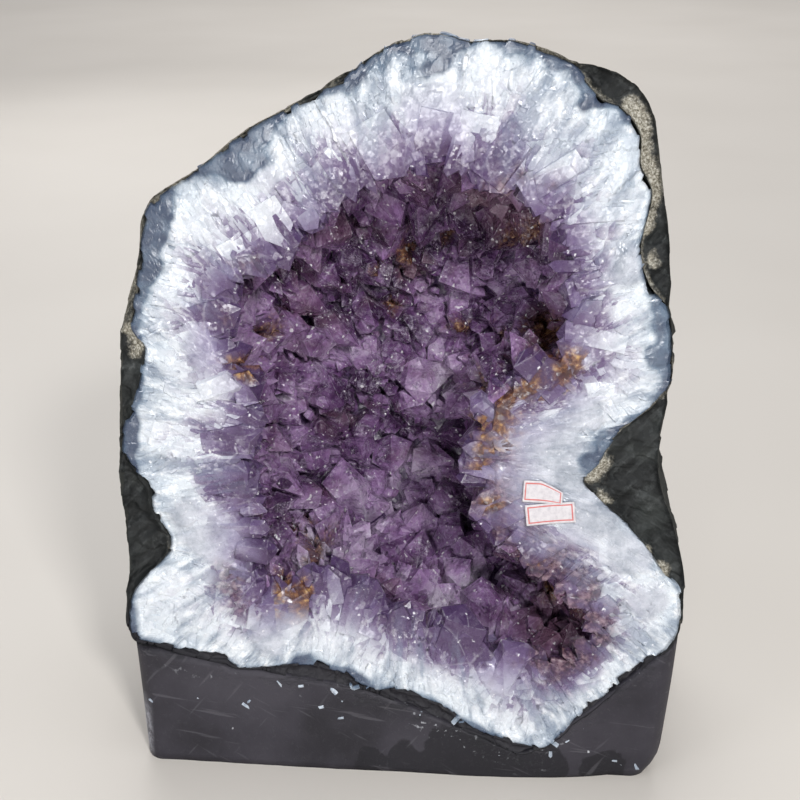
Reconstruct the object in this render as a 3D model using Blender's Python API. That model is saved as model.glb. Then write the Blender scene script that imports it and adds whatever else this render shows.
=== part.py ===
"""An amethyst geode half, standing upright on its cast cement foot.

The stone was cut in two, so it has one flat face, which leans back a little. Every piece is first laid
out on that face: x runs to the right, z up the face and y straight back behind it, in metres. lean_back()
then shears the whole object backwards, which tilts the cut face and keeps the foot's underside flat.

The pieces, from the outside in:
    cement_foot     the dark cast block that the stone stands in
    basalt_rind     the lumpy host rock round the crystal filling
    quartz_band     the agate and white quartz wall, a thick bowl with a hollow in its cut face
    amethyst_crust  the purple crystals that line the hollow, fused to each other
    price_tag_*     two small paper tags stuck on the cut face
"""

import math

import bmesh
import bpy
import numpy as np
from mathutils import Matrix, Vector

MM = 0.001

# Driving dimensions
FACE_LEAN = math.radians(7)
CENTRE = np.array([0.0, 0.150])  # x and z of the point that the outlines are star-shaped about
QUARTZ_DEPTH = 0.134
RIND_DEPTH = 0.145
WALL_DEPTH = 0.096  # how far back the wall behind the crystals goes
OUTER_BLUNTNESS = 2.3  # 2 is a ball's profile, and more is squarer
WALL_BLUNTNESS = 2.6
OUTER_CALM = 5  # stations each way that the outline is averaged over, towards the back
WALL_CALM = 6
TOP_FALL = 0.42  # how steeply the very top slopes down behind the cut face
RIND_SPREAD = 0.004  # how much the host rock thickens towards the back
LUMP_HEIGHT = 0.011
THINNEST_RIND = 0.0022
GAP = 0.0004
OVERRUN = 0.004  # how far a shape that is cut off later reaches past the cut
CRUST_THICKNESS = 0.0025
CRYSTAL_REACH = 0.014  # from the wall to the tips of the crystals at the cut face
CRYSTAL_SPACING = 0.0195
ROOT_DEPTH = 0.003  # how far a crystal starts behind the wall, before it is cut off there
FOOT_DEPTH = 0.134
TAG_THICKNESS = 0.0004

# How finely the round forms are faceted
STATIONS = 60
OUTER_RINGS = 6
WALL_RINGS = 6

# Outlines on the cut face, as x and z in millimetres, anticlockwise from the notch on the right
QUARTZ_EDGE_MM = [
    (74, 142), (80, 151), (86, 163), (98, 174), (106, 186), (105, 202), (103, 216), (95, 226), (91, 240),
    (94, 261), (89, 272), (88, 284), (81, 293), (72, 297), (61, 308), (49, 314), (35, 317), (22, 316),
    (10, 319), (-1, 317), (-15, 311), (-26, 302), (-38, 296), (-53, 288), (-66, 281), (-87, 265),
    (-97, 257), (-105, 251), (-108, 238), (-112, 218), (-115, 202), (-110, 194), (-112, 182), (-117, 166),
    (-121, 151), (-119, 142), (-111, 131), (-110, 122), (-103, 108), (-106, 99), (-114, 91), (-121, 81),
    (-122, 68), (-120, 60), (-110, 58), (-100, 56), (-82, 53), (-75, 49), (-62, 49), (-43, 51), (-29, 48),
    (-16, 42), (0, 40), (15, 35), (33, 23), (51, 17), (62, 16), (71, 24), (77, 33), (90, 46), (104, 61),
    (113, 67), (117, 77), (116, 95), (110, 102), (104, 111), (93, 124), (83, 133),
]
RIND_EDGE_MM = [
    (106, 142), (104, 158), (107, 186), (107, 200), (105, 217), (102, 241), (99, 259), (96, 276),
    (93, 290), (88, 299), (80, 305), (69, 309), (58, 312), (47, 316), (35, 319), (22, 318), (10, 321),
    (-2, 319), (-39, 298), (-88, 267), (-107, 253), (-112, 230), (-119, 205), (-121, 178), (-124, 152),
    (-123, 120), (-121, 96), (-124, 80), (-123, 62), (-100, 53), (-60, 46), (-16, 39), (33, 20),
    (56, 12), (77, 28), (106, 58), (119, 74), (119, 98), (114, 120),
]
# Where the tips of the crystals along the hollow's rim end
TIP_EDGE_MM = [
    (27, 150), (28, 166), (38, 177), (54, 189), (63, 197), (67, 209), (66, 227), (62, 243), (53, 256),
    (35, 262), (22, 271), (9, 273), (-6, 270), (-20, 262), (-32, 254), (-44, 241), (-57, 230), (-75, 219),
    (-77, 203), (-70, 187), (-63, 174), (-68, 156), (-67, 134), (-64, 113), (-68, 94), (-62, 84),
    (-46, 88), (-26, 95), (-11, 82), (11, 72), (33, 64), (55, 56), (75, 56), (84, 71), (76, 86),
    (58, 102), (42, 116), (29, 130), (27, 140),
]

# Each tag's lower left corner on the cut face, width, height and turn
TAGS = {
    "price_tag_upper": ((0.0486, 0.1343), 0.0160, 0.0085, math.radians(-2)),
    "price_tag_lower": ((0.0510, 0.1224), 0.0205, 0.0086, math.radians(7)),
}


def spline(points_mm, per_span=12):
    """A closed Catmull-Rom curve through the points, in metres."""
    points = np.array(points_mm, float) * MM
    before, after, beyond = np.roll(points, 1, 0), np.roll(points, -1, 0), np.roll(points, -2, 0)
    t = np.linspace(0, 1, per_span, endpoint=False)[None, :, None]
    a, b, c, d = (p[:, None, :] for p in (before, points, after, beyond))
    curve = 0.5 * (2 * b + (c - a) * t + (2 * a - 5 * b + 4 * c - d) * t**2 + (3 * b - a - 3 * c + d) * t**3)
    return curve.reshape(-1, 2)


def radius_at(points_mm, angles):
    """How far the closed outline lies from CENTRE in each direction."""
    curve = spline(points_mm) - CENTRE
    turn = np.unwrap(np.arctan2(curve[:, 1], curve[:, 0]))
    turn = np.maximum.accumulate(turn) + np.arange(len(turn)) * 1e-9
    reach = np.hypot(curve[:, 0], curve[:, 1])
    turns = np.concatenate([turn - 2 * math.pi, turn, turn + 2 * math.pi])
    return np.interp(angles, turns, np.tile(reach, 3))


def blurred(values, width):
    """A ring of values averaged over width neighbours each way."""
    return np.mean([np.roll(values, shift) for shift in range(-width, width + 1)], axis=0)


def blunt(t, bluntness):
    """The radius and the depth of a bowl's profile, from its rim at t 0 to its back at t 1."""
    turn = t * math.pi / 2
    return np.cos(turn) ** (2 / bluntness), np.sin(turn) ** (2 / bluntness)


def lumps(angle, t):
    """Swellings of the rock, mostly from 0 to 1, that fade out at the cut face and at the very back."""
    broad = np.sin(3 * angle + 1.1) * np.sin(2.6 * t + 0.4) + 0.7 * np.sin(5 * angle - 4 * t + 2.0)
    knobs = np.random.default_rng(3).normal(0, 0.5, (angle.size, t.size))
    knobs = blurred(knobs, 1).T
    return (0.5 + 0.2 * broad + knobs) * np.clip(t / 0.3, 0, 1) * np.cos(t * math.pi / 2)


def placed(radius, y, angle):
    """A point at that distance from the centre line and that depth. Above the centre it sinks with depth."""
    x = CENTRE[0] + radius * np.cos(angle)
    above = radius * np.sin(angle)
    sinking = TOP_FALL * np.maximum(y, 0) * np.clip(above / 0.17, 0, 1)
    return np.stack([x, y, CENTRE[1] + above - sinking], axis=-1)


def bowl(reach, calm_reach, depth, bluntness, rings, swelling=None, forward=0.0):
    """Rings of points from the cut face to the back, and the point at the very back.

    The outline's lobes calm down with depth: a ring lies between the outline itself and its blurred
    copy. A swelling is added outwards. forward draws the mouth out that far in front of the face.
    """
    angles = np.linspace(0, 2 * math.pi, len(reach), endpoint=False)
    t = np.linspace(0, 1, rings, endpoint=False)[:, None]
    across, back = blunt(t, bluntness)
    calm = np.clip(1.3 * t, 0, 1) ** 1.5
    radius = (reach * (1 - calm) + calm_reach * calm) * across
    y = depth * back * np.ones_like(radius)
    if swelling is not None:
        outwards = swelling(angles, t)
        radius = radius + outwards * np.cos(t * math.pi / 2)
        y = y + outwards * np.sin(t * math.pi / 2)
    if forward:
        radius = np.concatenate([radius[:1], radius])
        y = np.concatenate([y[:1] - forward, y])
    return placed(radius, y, angles), np.array([CENTRE[0], depth, CENTRE[1]])


def ring_faces(first, second, count):
    """Triangles between two rings of count points that start at those indices.

    Every piece splits its bent four-sided faces along the same diagonal, so neighbours stay apart.
    """
    faces = []
    for i in range(count):
        after = (i + 1) % count
        faces += [(first + i, first + after, second + after), (first + i, second + after, second + i)]
    return faces


def fan_faces(ring, middle, count):
    return [(ring + i, ring + (i + 1) % count, middle) for i in range(count)]


def closed_bowl(rings, back):
    """A solid from the rings of one bowl: its mouth is closed flat."""
    depth, count = rings.shape[:2]
    points = [*rings.reshape(-1, 3), back]
    faces = [f for k in range(depth - 1) for f in ring_faces(k * count, (k + 1) * count, count)]
    faces += fan_faces((depth - 1) * count, depth * count, count)
    mouth = len(points)
    points.append(rings[0].mean(0))
    faces += fan_faces(0, mouth, count)
    return points, faces


def wall_between(outer, outer_back, inner, inner_back):
    """A bowl with a wall: the outer skin, the inner skin and the flat rim that joins their mouths."""
    count = outer.shape[1]
    points = [*outer.reshape(-1, 3), outer_back, *inner.reshape(-1, 3), inner_back]
    start = outer.shape[0] * count + 1
    faces = [f for k in range(outer.shape[0] - 1) for f in ring_faces(k * count, (k + 1) * count, count)]
    faces += fan_faces((outer.shape[0] - 1) * count, start - 1, count)
    last = start + (inner.shape[0] - 1) * count
    for k in range(inner.shape[0] - 1):
        faces += ring_faces(start + k * count, start + (k + 1) * count, count)
    faces += fan_faces(last, last + count, count)
    faces += ring_faces(0, start, count)
    return points, faces


def add_object(name, points, faces, material=None):
    """A mesh object with its faces pointing outwards."""
    mesh = bpy.data.meshes.new(name)
    mesh.from_pydata([tuple(p) for p in points], [], faces)
    shape = bmesh.new()
    shape.from_mesh(mesh)
    bmesh.ops.recalc_face_normals(shape, faces=shape.faces[:])
    shape.to_mesh(mesh)
    shape.free()
    made = bpy.data.objects.new(name, mesh)
    bpy.context.collection.objects.link(made)
    if material:
        mesh.materials.append(material)
    return made


def as_helper(made):
    """Marks an object as a cutter or an operand, which is no piece of the geode."""
    made.hide_render = True
    made.display_type = "WIRE"
    return made


def combine(made, other, operation, own_overlaps=False):
    modifier = made.modifiers.new(operation.lower(), "BOOLEAN")
    modifier.operation = operation
    modifier.object = other
    modifier.solver = "EXACT"
    modifier.use_self = own_overlaps


def finish_of(name, colour, roughness, metallic=0.0):
    made = bpy.data.materials.new(name)
    made.use_nodes = True
    shader = made.node_tree.nodes["Principled BSDF"]
    shader.inputs["Base Color"].default_value = (*colour, 1)
    shader.inputs["Roughness"].default_value = roughness
    shader.inputs["Metallic"].default_value = metallic
    return made


# The outlines as distances from the centre, at evenly spaced stations
ANGLES = np.linspace(0, 2 * math.pi, STATIONS, endpoint=False)
QUARTZ = radius_at(QUARTZ_EDGE_MM, ANGLES)
RIND = np.maximum(radius_at(RIND_EDGE_MM, ANGLES), QUARTZ + GAP + THINNEST_RIND)
WALL = radius_at(TIP_EDGE_MM, ANGLES) + CRYSTAL_REACH


def quartz_outer(grown=0.0):
    calm = blurred(QUARTZ, OUTER_CALM)
    return bowl(QUARTZ + grown, calm + grown, QUARTZ_DEPTH + grown, OUTER_BLUNTNESS, OUTER_RINGS)


def rind_outer(grown=0.0, forward=0.0):
    def swelling(angles, t):
        return LUMP_HEIGHT * lumps(angles, t)

    calm = blurred(RIND, OUTER_CALM) + RIND_SPREAD
    return bowl(
        RIND + grown, calm + grown, RIND_DEPTH + grown, OUTER_BLUNTNESS, OUTER_RINGS, swelling, forward
    )


def hollow(shrunk=0.0, forward=0.0):
    """The wall of the hollow, drawn in by shrunk."""
    calm = blurred(WALL, WALL_CALM)
    return bowl(
        WALL - shrunk, calm - shrunk, WALL_DEPTH - shrunk, WALL_BLUNTNESS, WALL_RINGS, None, forward
    )


def basalt_rind(material):
    """The host rock: a shell between the quartz and the lumpy outside."""
    return add_object("basalt_rind", *wall_between(*rind_outer(), *quartz_outer(GAP)), material)


def quartz_band(material):
    """The agate and quartz filling: a thick bowl, cut flat at the face."""
    return add_object("quartz_band", *wall_between(*quartz_outer(), *hollow()), material)


def foot_ring(z):
    """The foot's outline at one height: a rectangle with rounded corners, a little narrower low down.

    Low down on the right its front edge draws back a little, as hand-cast cement does.
    """
    rise = z / 0.07
    left, right = -0.1190 - 0.0045 * rise, 0.1150 + 0.0040 * rise
    back = FOOT_DEPTH - 0.014 * rise
    corners = ((right, 0.0, -90), (right, back, 0), (left, back, 90), (left, 0.0, 180))
    points = []
    for x, y, start in corners:
        round_off = 0.009 if y == 0 else 0.030
        middle_x = x - math.copysign(round_off, x)
        middle_y = round_off if y == 0 else y - round_off
        if x > 0 and y == 0:
            middle_y += 0.006 * max(0.0, 1 - z / 0.05)
        for step in range(5):
            turn = math.radians(start + 90 * step / 4)
            points.append((middle_x + round_off * math.cos(turn), middle_y + round_off * math.sin(turn), z))
    return points


def foot_top(x, y):
    """The foot's top edge: higher on the right, and lower towards the back."""
    return 0.0635 + 0.055 * x - 0.10 * y + 0.002 * math.sin(70 * x + 40 * y)


def cement_foot(material):
    """The cast block: stacked outlines, hollowed where the stone sits in it."""
    heights = (0.0, 0.003, 0.020, 0.040)
    levels = [foot_ring(z) for z in heights]
    levels[0] = [(x * 0.985, 0.0015 + y * 0.982, z) for x, y, z in levels[0]]
    rim = [(x, y, foot_top(x, y)) for x, y, _ in foot_ring(0.060)]
    inner = [(x * 0.8, 0.012 + y * 0.8, foot_top(x, y) + 0.003) for x, y, _ in rim]
    levels += [rim, inner]
    count = len(rim)
    points = [p for level in levels for p in level]
    faces = [f for k in range(len(levels) - 1) for f in ring_faces(k * count, (k + 1) * count, count)]
    points += [(0.004, 0.060, 0.0), (0.0, 0.055, 0.060)]
    faces += fan_faces(0, len(points) - 2, count)
    faces += fan_faces((len(levels) - 1) * count, len(points) - 1, count)
    foot = add_object("cement_foot", points, faces, material)
    seat = as_helper(add_object("seat_cutter", *closed_bowl(*rind_outer(GAP, forward=OVERRUN))))
    combine(foot, seat, "DIFFERENCE")
    return foot, seat


def crystal(root, axis, spin, radius, length, draw):
    """One quartz crystal: a six-sided prism whose end is cut by six sloping planes.

    Three of the planes lie lower than the others, as in amethyst, where three faces of the point are large.
    """
    slope = math.radians(38.2)  # between a face of the point and the crystal's axis
    shape = bmesh.new()
    bmesh.ops.create_cone(
        shape, cap_ends=True, segments=6, radius1=radius, radius2=radius, depth=length,
        matrix=Matrix.Translation((0, 0, length / 2)),
    )
    for side in range(6):
        turn = math.radians(30 + 60 * side)
        normal = Vector((math.cos(turn) * math.cos(slope), math.sin(turn) * math.cos(slope), math.sin(slope)))
        lowered = (0.30 if side % 2 else 0.0) * radius + draw.uniform(0, 0.22) * radius
        tip = Vector((0, 0, length - lowered))
        cut = bmesh.ops.bisect_plane(
            shape, geom=shape.verts[:] + shape.edges[:] + shape.faces[:], plane_co=tip, plane_no=normal,
            clear_outer=True,
        )
        rim = [e for e in cut["geom_cut"] if isinstance(e, bmesh.types.BMEdge)]
        if rim:
            bmesh.ops.holes_fill(shape, edges=rim, sides=0)
    turned = Vector(axis).to_track_quat("Z", "Y").to_matrix().to_4x4()
    place = Matrix.Translation(Vector(root)) @ turned @ Matrix.Rotation(spin, 4, "Z")
    bmesh.ops.transform(shape, matrix=place, verts=shape.verts[:])
    shape.verts.index_update()
    points = [tuple(v.co) for v in shape.verts]
    faces = [tuple(v.index for v in f.verts) for f in shape.faces]
    shape.free()
    return points, faces


def wall_point(angle, t):
    """A point on the hollow's wall."""
    reach = np.interp(angle, ANGLES, WALL, period=2 * math.pi)
    calm_reach = np.interp(angle, ANGLES, blurred(WALL, WALL_CALM), period=2 * math.pi)
    across, back = blunt(t, WALL_BLUNTNESS)
    calm = min(1.0, 1.3 * t) ** 1.5
    radius = (reach * (1 - calm) + calm_reach * calm) * across
    return placed(radius, WALL_DEPTH * back, angle)


def wall_seeds(spacing, draw, tries=9000):
    """Points strewn over the hollow's wall, no two closer than spacing, each with the way into the hollow."""
    places, seeds = np.empty((0, 3)), []
    middle = np.array([CENTRE[0], 0.02, CENTRE[1]])
    for angle, drawn in zip(draw.uniform(0, 2 * math.pi, tries), draw.uniform(-0.10, 0.99, tries)):
        t = max(drawn, 0.0)
        point = wall_point(angle, t)
        if len(places) and np.linalg.norm(places - point, axis=1).min() < spacing:
            continue
        around = wall_point(angle + 0.06, t) - wall_point(angle - 0.06, t)
        backwards = wall_point(angle, min(t + 0.03, 1.0)) - wall_point(angle, max(t - 0.03, 0.0))
        inward = np.cross(around, backwards)
        inward = inward / np.linalg.norm(inward)
        places = np.vstack([places, point])
        seeds.append((point, inward if inward @ (middle - point) > 0 else -inward))
    return seeds


def amethyst_crust(material):
    """The crystals that line the hollow, fused with a thin layer along the wall and cut flat at the face."""
    draw = np.random.default_rng(7)
    layer = add_object(
        "amethyst_crust",
        *wall_between(*hollow(-OVERRUN, OVERRUN), *hollow(GAP + CRUST_THICKNESS, OVERRUN)),
        material,
    )
    points, faces = [], []
    for root, inward in wall_seeds(CRYSTAL_SPACING, draw):
        axis = inward + draw.normal(0, 0.20, 3)
        axis = axis / np.linalg.norm(axis)
        root = root - ROOT_DEPTH * axis
        length = ROOT_DEPTH + CRYSTAL_REACH * draw.uniform(0.95, 1.65)
        radius = CRYSTAL_SPACING * draw.uniform(0.68, 1.00)
        start = len(points)
        own_points, own_faces = crystal(root, axis, draw.uniform(0, math.pi), radius, length, draw)
        points += own_points
        faces += [tuple(start + i for i in face) for face in own_faces]
    crystals = as_helper(add_object("crystals_to_fuse", points, faces))
    space = as_helper(add_object("hollow_space", *closed_bowl(*hollow(GAP))))
    combine(layer, crystals, "UNION", own_overlaps=True)
    combine(layer, space, "INTERSECT")
    return layer, crystals, space


def price_tag(name, material):
    """A small paper rectangle lying on the cut face."""
    (x, z), width, height, turn = TAGS[name]
    front = -(GAP + TAG_THICKNESS)
    corners = [(0, 0), (width, 0), (width, height), (0, height)]
    points = [
        (x + u * math.cos(turn) - v * math.sin(turn), y, z + u * math.sin(turn) + v * math.cos(turn))
        for y in (front, front + TAG_THICKNESS)
        for u, v in corners
    ]
    faces = [(0, 1, 2, 3), (4, 5, 6, 7), *ring_faces(0, 4, 4)]
    return add_object(name, points, faces, material)


def lean_back(objects):
    """Shears everything backwards with height, then sets the origin under the middle of the object."""
    tilt = math.tan(FACE_LEAN)
    shear = Matrix(((1, 0, 0, 0), (0, 1, tilt, 0), (0, 0, 1, 0), (0, 0, 0, 1)))
    for made in objects:
        made.data.transform(shear)
    graph = bpy.context.evaluated_depsgraph_get()
    graph.update()
    corners = []
    for made in objects:
        if not made.hide_render:
            corners += [Vector(v.co) for v in made.evaluated_get(graph).data.vertices]
    low = [min(c[i] for c in corners) for i in range(2)]
    high = [max(c[i] for c in corners) for i in range(2)]
    middle = Matrix.Translation((-(low[0] + high[0]) / 2, -(low[1] + high[1]) / 2, 0))
    for made in objects:
        made.data.transform(middle)


def main():
    for old in list(bpy.data.objects):
        bpy.data.objects.remove(old)
    rock = finish_of("rock", (0.045, 0.048, 0.048), 0.75)
    cement = finish_of("cement", (0.050, 0.047, 0.055), 0.6)
    quartz = finish_of("quartz", (0.80, 0.83, 0.88), 0.25)
    amethyst = finish_of("amethyst", (0.22, 0.10, 0.30), 0.12)
    paper = finish_of("paper", (0.85, 0.82, 0.82), 0.6)
    objects = [basalt_rind(rock), quartz_band(quartz), *cement_foot(cement), *amethyst_crust(amethyst)]
    objects += [price_tag(name, paper) for name in TAGS]
    lean_back(objects)


main()
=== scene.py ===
# %% [markdown]
# A geode half, dressed.
#
# A geode starts as a gas bubble in basalt. Water seeps in and lines it, first with grey-blue agate, then with
# white quartz, and at last with amethyst points that grow into the open middle. Sawn in two and set upright
# in cement, it shows all four in one cut face. This lesson builds each of them as a surface worked out with
# numpy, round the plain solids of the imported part.

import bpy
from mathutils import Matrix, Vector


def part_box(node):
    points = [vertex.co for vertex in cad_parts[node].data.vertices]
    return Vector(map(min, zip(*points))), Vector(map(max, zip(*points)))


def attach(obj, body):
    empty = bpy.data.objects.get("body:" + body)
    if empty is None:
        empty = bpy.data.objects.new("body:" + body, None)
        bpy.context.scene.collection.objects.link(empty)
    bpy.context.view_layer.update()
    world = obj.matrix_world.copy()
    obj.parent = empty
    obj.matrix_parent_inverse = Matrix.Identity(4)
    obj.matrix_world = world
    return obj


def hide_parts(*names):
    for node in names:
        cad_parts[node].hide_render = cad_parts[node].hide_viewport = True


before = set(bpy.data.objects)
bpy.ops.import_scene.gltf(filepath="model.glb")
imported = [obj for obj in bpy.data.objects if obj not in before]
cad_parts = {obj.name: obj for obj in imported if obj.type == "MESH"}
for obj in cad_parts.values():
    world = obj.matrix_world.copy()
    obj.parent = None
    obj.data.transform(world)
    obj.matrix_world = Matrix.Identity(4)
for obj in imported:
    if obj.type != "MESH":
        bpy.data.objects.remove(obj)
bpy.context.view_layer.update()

# %% Libraries
import itertools
import math

import bpy
import numpy as np
from mathutils import Vector

# %% [markdown]
# The cut face leans back by 7 degrees. It is easier to think of it as standing upright, with x to the
# right, y straight back behind it and z up, and to lean everything back at the end. The face's own place
# comes from the boxes of two solids: the quartz, whose lowest point lies on the face, and a paper tag,
# whose corner is known.

# %% The leaning face
MM = 0.001
LEAN = math.tan(math.radians(7))
MIDDLE_Z = 0.150
TAG_LEFT, TAG_HEIGHT, TAG_TURN = 0.0510, 0.0086, math.radians(7)
quartz_low, tag_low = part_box("quartz_band")[0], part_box("price_tag_lower")[0]
FACE_FOOT_Y = quartz_low.y - quartz_low.z * LEAN
SHIFT_X = tag_low.x - (TAG_LEFT - TAG_HEIGHT * math.sin(TAG_TURN))


def leaned(points):
    """Points of the upright layout in the part's frame: each moves back by its height times the lean."""
    x, y, z = np.moveaxis(np.asarray(points, float), -1, 0)
    return np.stack([x + SHIFT_X, y + FACE_FOOT_Y + z * LEAN, z], axis=-1)


print("the face meets the table at y", round(FACE_FOOT_Y, 4))

# %% [markdown]
# Three outlines, drawn on the cut face, hold the whole design: where the quartz ends, where the rock
# ends, and where the tips of the crystals round the hollow end. A Catmull-Rom curve through the points rounds
# them, and each outline is then read as a distance from the middle in every direction.

# %% Outlines on the cut face
QUARTZ_EDGE_MM = [
    (74, 142), (80, 151), (86, 163), (98, 174), (106, 186), (105, 202), (103, 216), (95, 226), (91, 240),
    (94, 261), (89, 272), (88, 284), (81, 293), (72, 297), (61, 308), (49, 314), (35, 317), (22, 316),
    (10, 319), (-1, 317), (-15, 311), (-26, 302), (-38, 296), (-53, 288), (-66, 281), (-87, 265),
    (-97, 257), (-105, 251), (-108, 238), (-112, 218), (-115, 202), (-110, 194), (-112, 182), (-117, 166),
    (-121, 151), (-119, 142), (-111, 131), (-110, 122), (-103, 108), (-106, 99), (-114, 91), (-121, 81),
    (-122, 68), (-120, 60), (-110, 58), (-100, 56), (-82, 53), (-75, 49), (-62, 49), (-43, 51), (-29, 48),
    (-16, 42), (0, 40), (15, 35), (33, 23), (51, 17), (62, 16), (71, 24), (77, 33), (90, 46), (104, 61),
    (113, 67), (117, 77), (116, 95), (110, 102), (104, 111), (93, 124), (83, 133),
]
ROCK_EDGE_MM = [
    (106, 142), (104, 158), (107, 186), (107, 200), (105, 217), (102, 241), (99, 259), (96, 276),
    (93, 290), (88, 299), (80, 305), (69, 309), (58, 312), (47, 316), (35, 319), (22, 318), (10, 321),
    (-2, 319), (-39, 298), (-88, 267), (-107, 253), (-112, 230), (-119, 205), (-121, 178), (-124, 152),
    (-123, 120), (-121, 96), (-124, 80), (-123, 62), (-100, 53), (-60, 46), (-16, 39), (33, 20),
    (56, 12), (77, 28), (106, 58), (119, 74), (119, 98), (114, 120),
]
TIP_EDGE_MM = [
    (27, 150), (28, 166), (38, 177), (54, 189), (63, 197), (67, 209), (66, 227), (62, 243), (53, 256),
    (35, 262), (22, 271), (9, 273), (-6, 270), (-20, 262), (-32, 254), (-44, 241), (-57, 230), (-75, 219),
    (-77, 203), (-70, 187), (-63, 174), (-68, 156), (-67, 134), (-64, 113), (-68, 94), (-62, 84),
    (-46, 88), (-26, 95), (-11, 82), (11, 72), (33, 64), (55, 56), (75, 56), (84, 71), (76, 86),
    (58, 102), (42, 116), (29, 130), (27, 140),
]
SPOKES = 1080
FULL_TURN = 2 * math.pi


def rounded(outline_mm, steps=14):
    """A closed Catmull-Rom curve: between b and c a point is a cubic mixture of a, b, c and d in a row."""
    b = np.array(outline_mm, float) * MM
    a, c, d = np.roll(b, 1, 0), np.roll(b, -1, 0), np.roll(b, -2, 0)
    a, b, c, d = (p[:, None, :] for p in (a, b, c, d))
    t = np.linspace(0, 1, steps, endpoint=False)[None, :, None]
    curve = 0.5 * (2 * b + (c - a) * t + (2 * a - 5 * b + 4 * c - d) * t**2 + (3 * b - a - 3 * c + d) * t**3)
    return curve.reshape(-1, 2)


def turn_of(x, z):
    """The direction from the middle, from 0 to a full turn."""
    return np.mod(np.arctan2(z - MIDDLE_Z, x), FULL_TURN)


def reach_of(curve, angles):
    """The outline's distance from the middle at each angle, by interpolation between its own points."""
    x, z = curve[:, 0], curve[:, 1] - MIDDLE_Z
    turn = np.maximum.accumulate(np.unwrap(np.arctan2(z, x))) + np.arange(len(x)) * 1e-9
    turns = np.concatenate([turn - FULL_TURN, turn, turn + FULL_TURN])
    return np.interp(angles, turns, np.tile(np.hypot(x, z), 3))


QUARTZ_CURVE, ROCK_CURVE, TIP_CURVE = (rounded(e) for e in (QUARTZ_EDGE_MM, ROCK_EDGE_MM, TIP_EDGE_MM))
SPOKE_ANGLES = np.linspace(0, FULL_TURN, SPOKES, endpoint=False)
QUARTZ_REACH = reach_of(QUARTZ_CURVE, SPOKE_ANGLES)
ROCK_REACH = np.maximum(reach_of(ROCK_CURVE, SPOKE_ANGLES), QUARTZ_REACH + 0.0024)
TIP_REACH = reach_of(TIP_CURVE, SPOKE_ANGLES)
WALL_REACH = TIP_REACH + 0.014


def at_turn(values, angle):
    """What a list with one value for each spoke says at any angle."""
    return np.interp(angle, SPOKE_ANGLES, values, period=FULL_TURN)


print("quartz reaches", QUARTZ_REACH.min().round(3), "to", QUARTZ_REACH.max().round(3), "m from the middle")

# %% [markdown]
# Stone needs disorder that comes out the same at every run. A hash turns a cell of a lattice into a steady
# random number. Smooth noise mixes the numbers at a cell's corners. Broken noise gives each cell a little
# plane of its own, which is how quartz breaks.

# %% Disorder


def hashed(cells, seed):
    """A number from 0 to 1 for each whole-number cell: the fraction left of a large sine."""
    mixed = cells @ np.array([127.1, 311.7, 74.7]) + 37.3 * seed
    return np.mod(np.sin(mixed) * 43758.5453, 1.0)


def smooth_noise(points, size, seed=0):
    """From -1 to 1: a point's value is the smooth mixture of the numbers at its cell's eight corners."""
    corner = np.floor(points / size)
    part = points / size - corner
    part = part * part * (3 - 2 * part)
    total = 0.0
    for step in itertools.product((0, 1), repeat=3):
        share = np.prod(np.where(np.array(step), part, 1 - part), axis=-1)
        total = total + share * hashed(corner + np.array(step), seed)
    return 2 * total - 1


def layered_noise(points, size, layers=4, seed=0):
    """Smooth noise at ever smaller sizes, each half as strong as the one before."""
    return sum(smooth_noise(points, size / 2**k, seed + k) / 2**k for k in range(layers))


def broken_noise(points, size, seed=0, tilt=1.0):
    """About -1 to 1: space is split round jittered cell points, and each cell is a plane of its own slope."""
    scaled = points / size
    home = np.floor(scaled)
    nearest = np.full(scaled.shape[:-1], 9.0)
    height = np.zeros(scaled.shape[:-1])
    for step in itertools.product((-1, 0, 1), repeat=3):
        cell = home + np.array(step)
        jitter = np.stack([hashed(cell, seed + k) for k in (1, 2, 3)], axis=-1)
        away = scaled - cell - jitter
        gap = (away**2).sum(-1)
        slope = np.stack([hashed(cell, seed + k) for k in (4, 5, 6)], axis=-1) * 2 - 1
        own = tilt * (slope * away).sum(-1) + hashed(cell, seed + 7) * 2 - 1
        closer = gap < nearest
        nearest = np.where(closer, gap, nearest)
        height = np.where(closer, own, height)
    return height


# %% [markdown]
# Everything on the face depends on how far a place lies between the stone's edge and the hollow: agate at
# 0, white quartz in the middle, amethyst at 1. Two distance maps on a fine grid give that share, and its
# slope is the way the crystals grew. A map costs little and can be read anywhere.

# %% The share from edge to hollow
GRID = 0.001
GRID_X = np.arange(-0.140, 0.1401, GRID)
GRID_Z = np.arange(0.0, 0.3351, GRID)


def distance_map(curve):
    """The shortest distance from each grid point to a curve's points."""
    x, z = np.meshgrid(GRID_X, GRID_Z, indexing="ij")
    nearest = np.full(x.shape, np.inf)
    for piece in np.array_split(curve, 60):
        away = np.hypot(x[..., None] - piece[:, 0], z[..., None] - piece[:, 1]).min(-1)
        nearest = np.minimum(nearest, away)
    return nearest


def mixture(values, row, column):
    """What a table says between its entries: the four round the place, each by how near it is."""
    i, j = row.astype(int), column.astype(int)
    u, v = row - i, column - j
    low = values[i, j] * (1 - u) + values[i + 1, j] * u
    high = values[i, j + 1] * (1 - u) + values[i + 1, j + 1] * u
    return low * (1 - v) + high * v


def read_map(values, x, z):
    """A map's value at any place. Places off the grid read its border."""
    row = np.clip((x - GRID_X[0]) / GRID, 0, len(GRID_X) - 1.001)
    column = np.clip((z - GRID_Z[0]) / GRID, 0, len(GRID_Z) - 1.001)
    return mixture(values, row, column)


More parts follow.
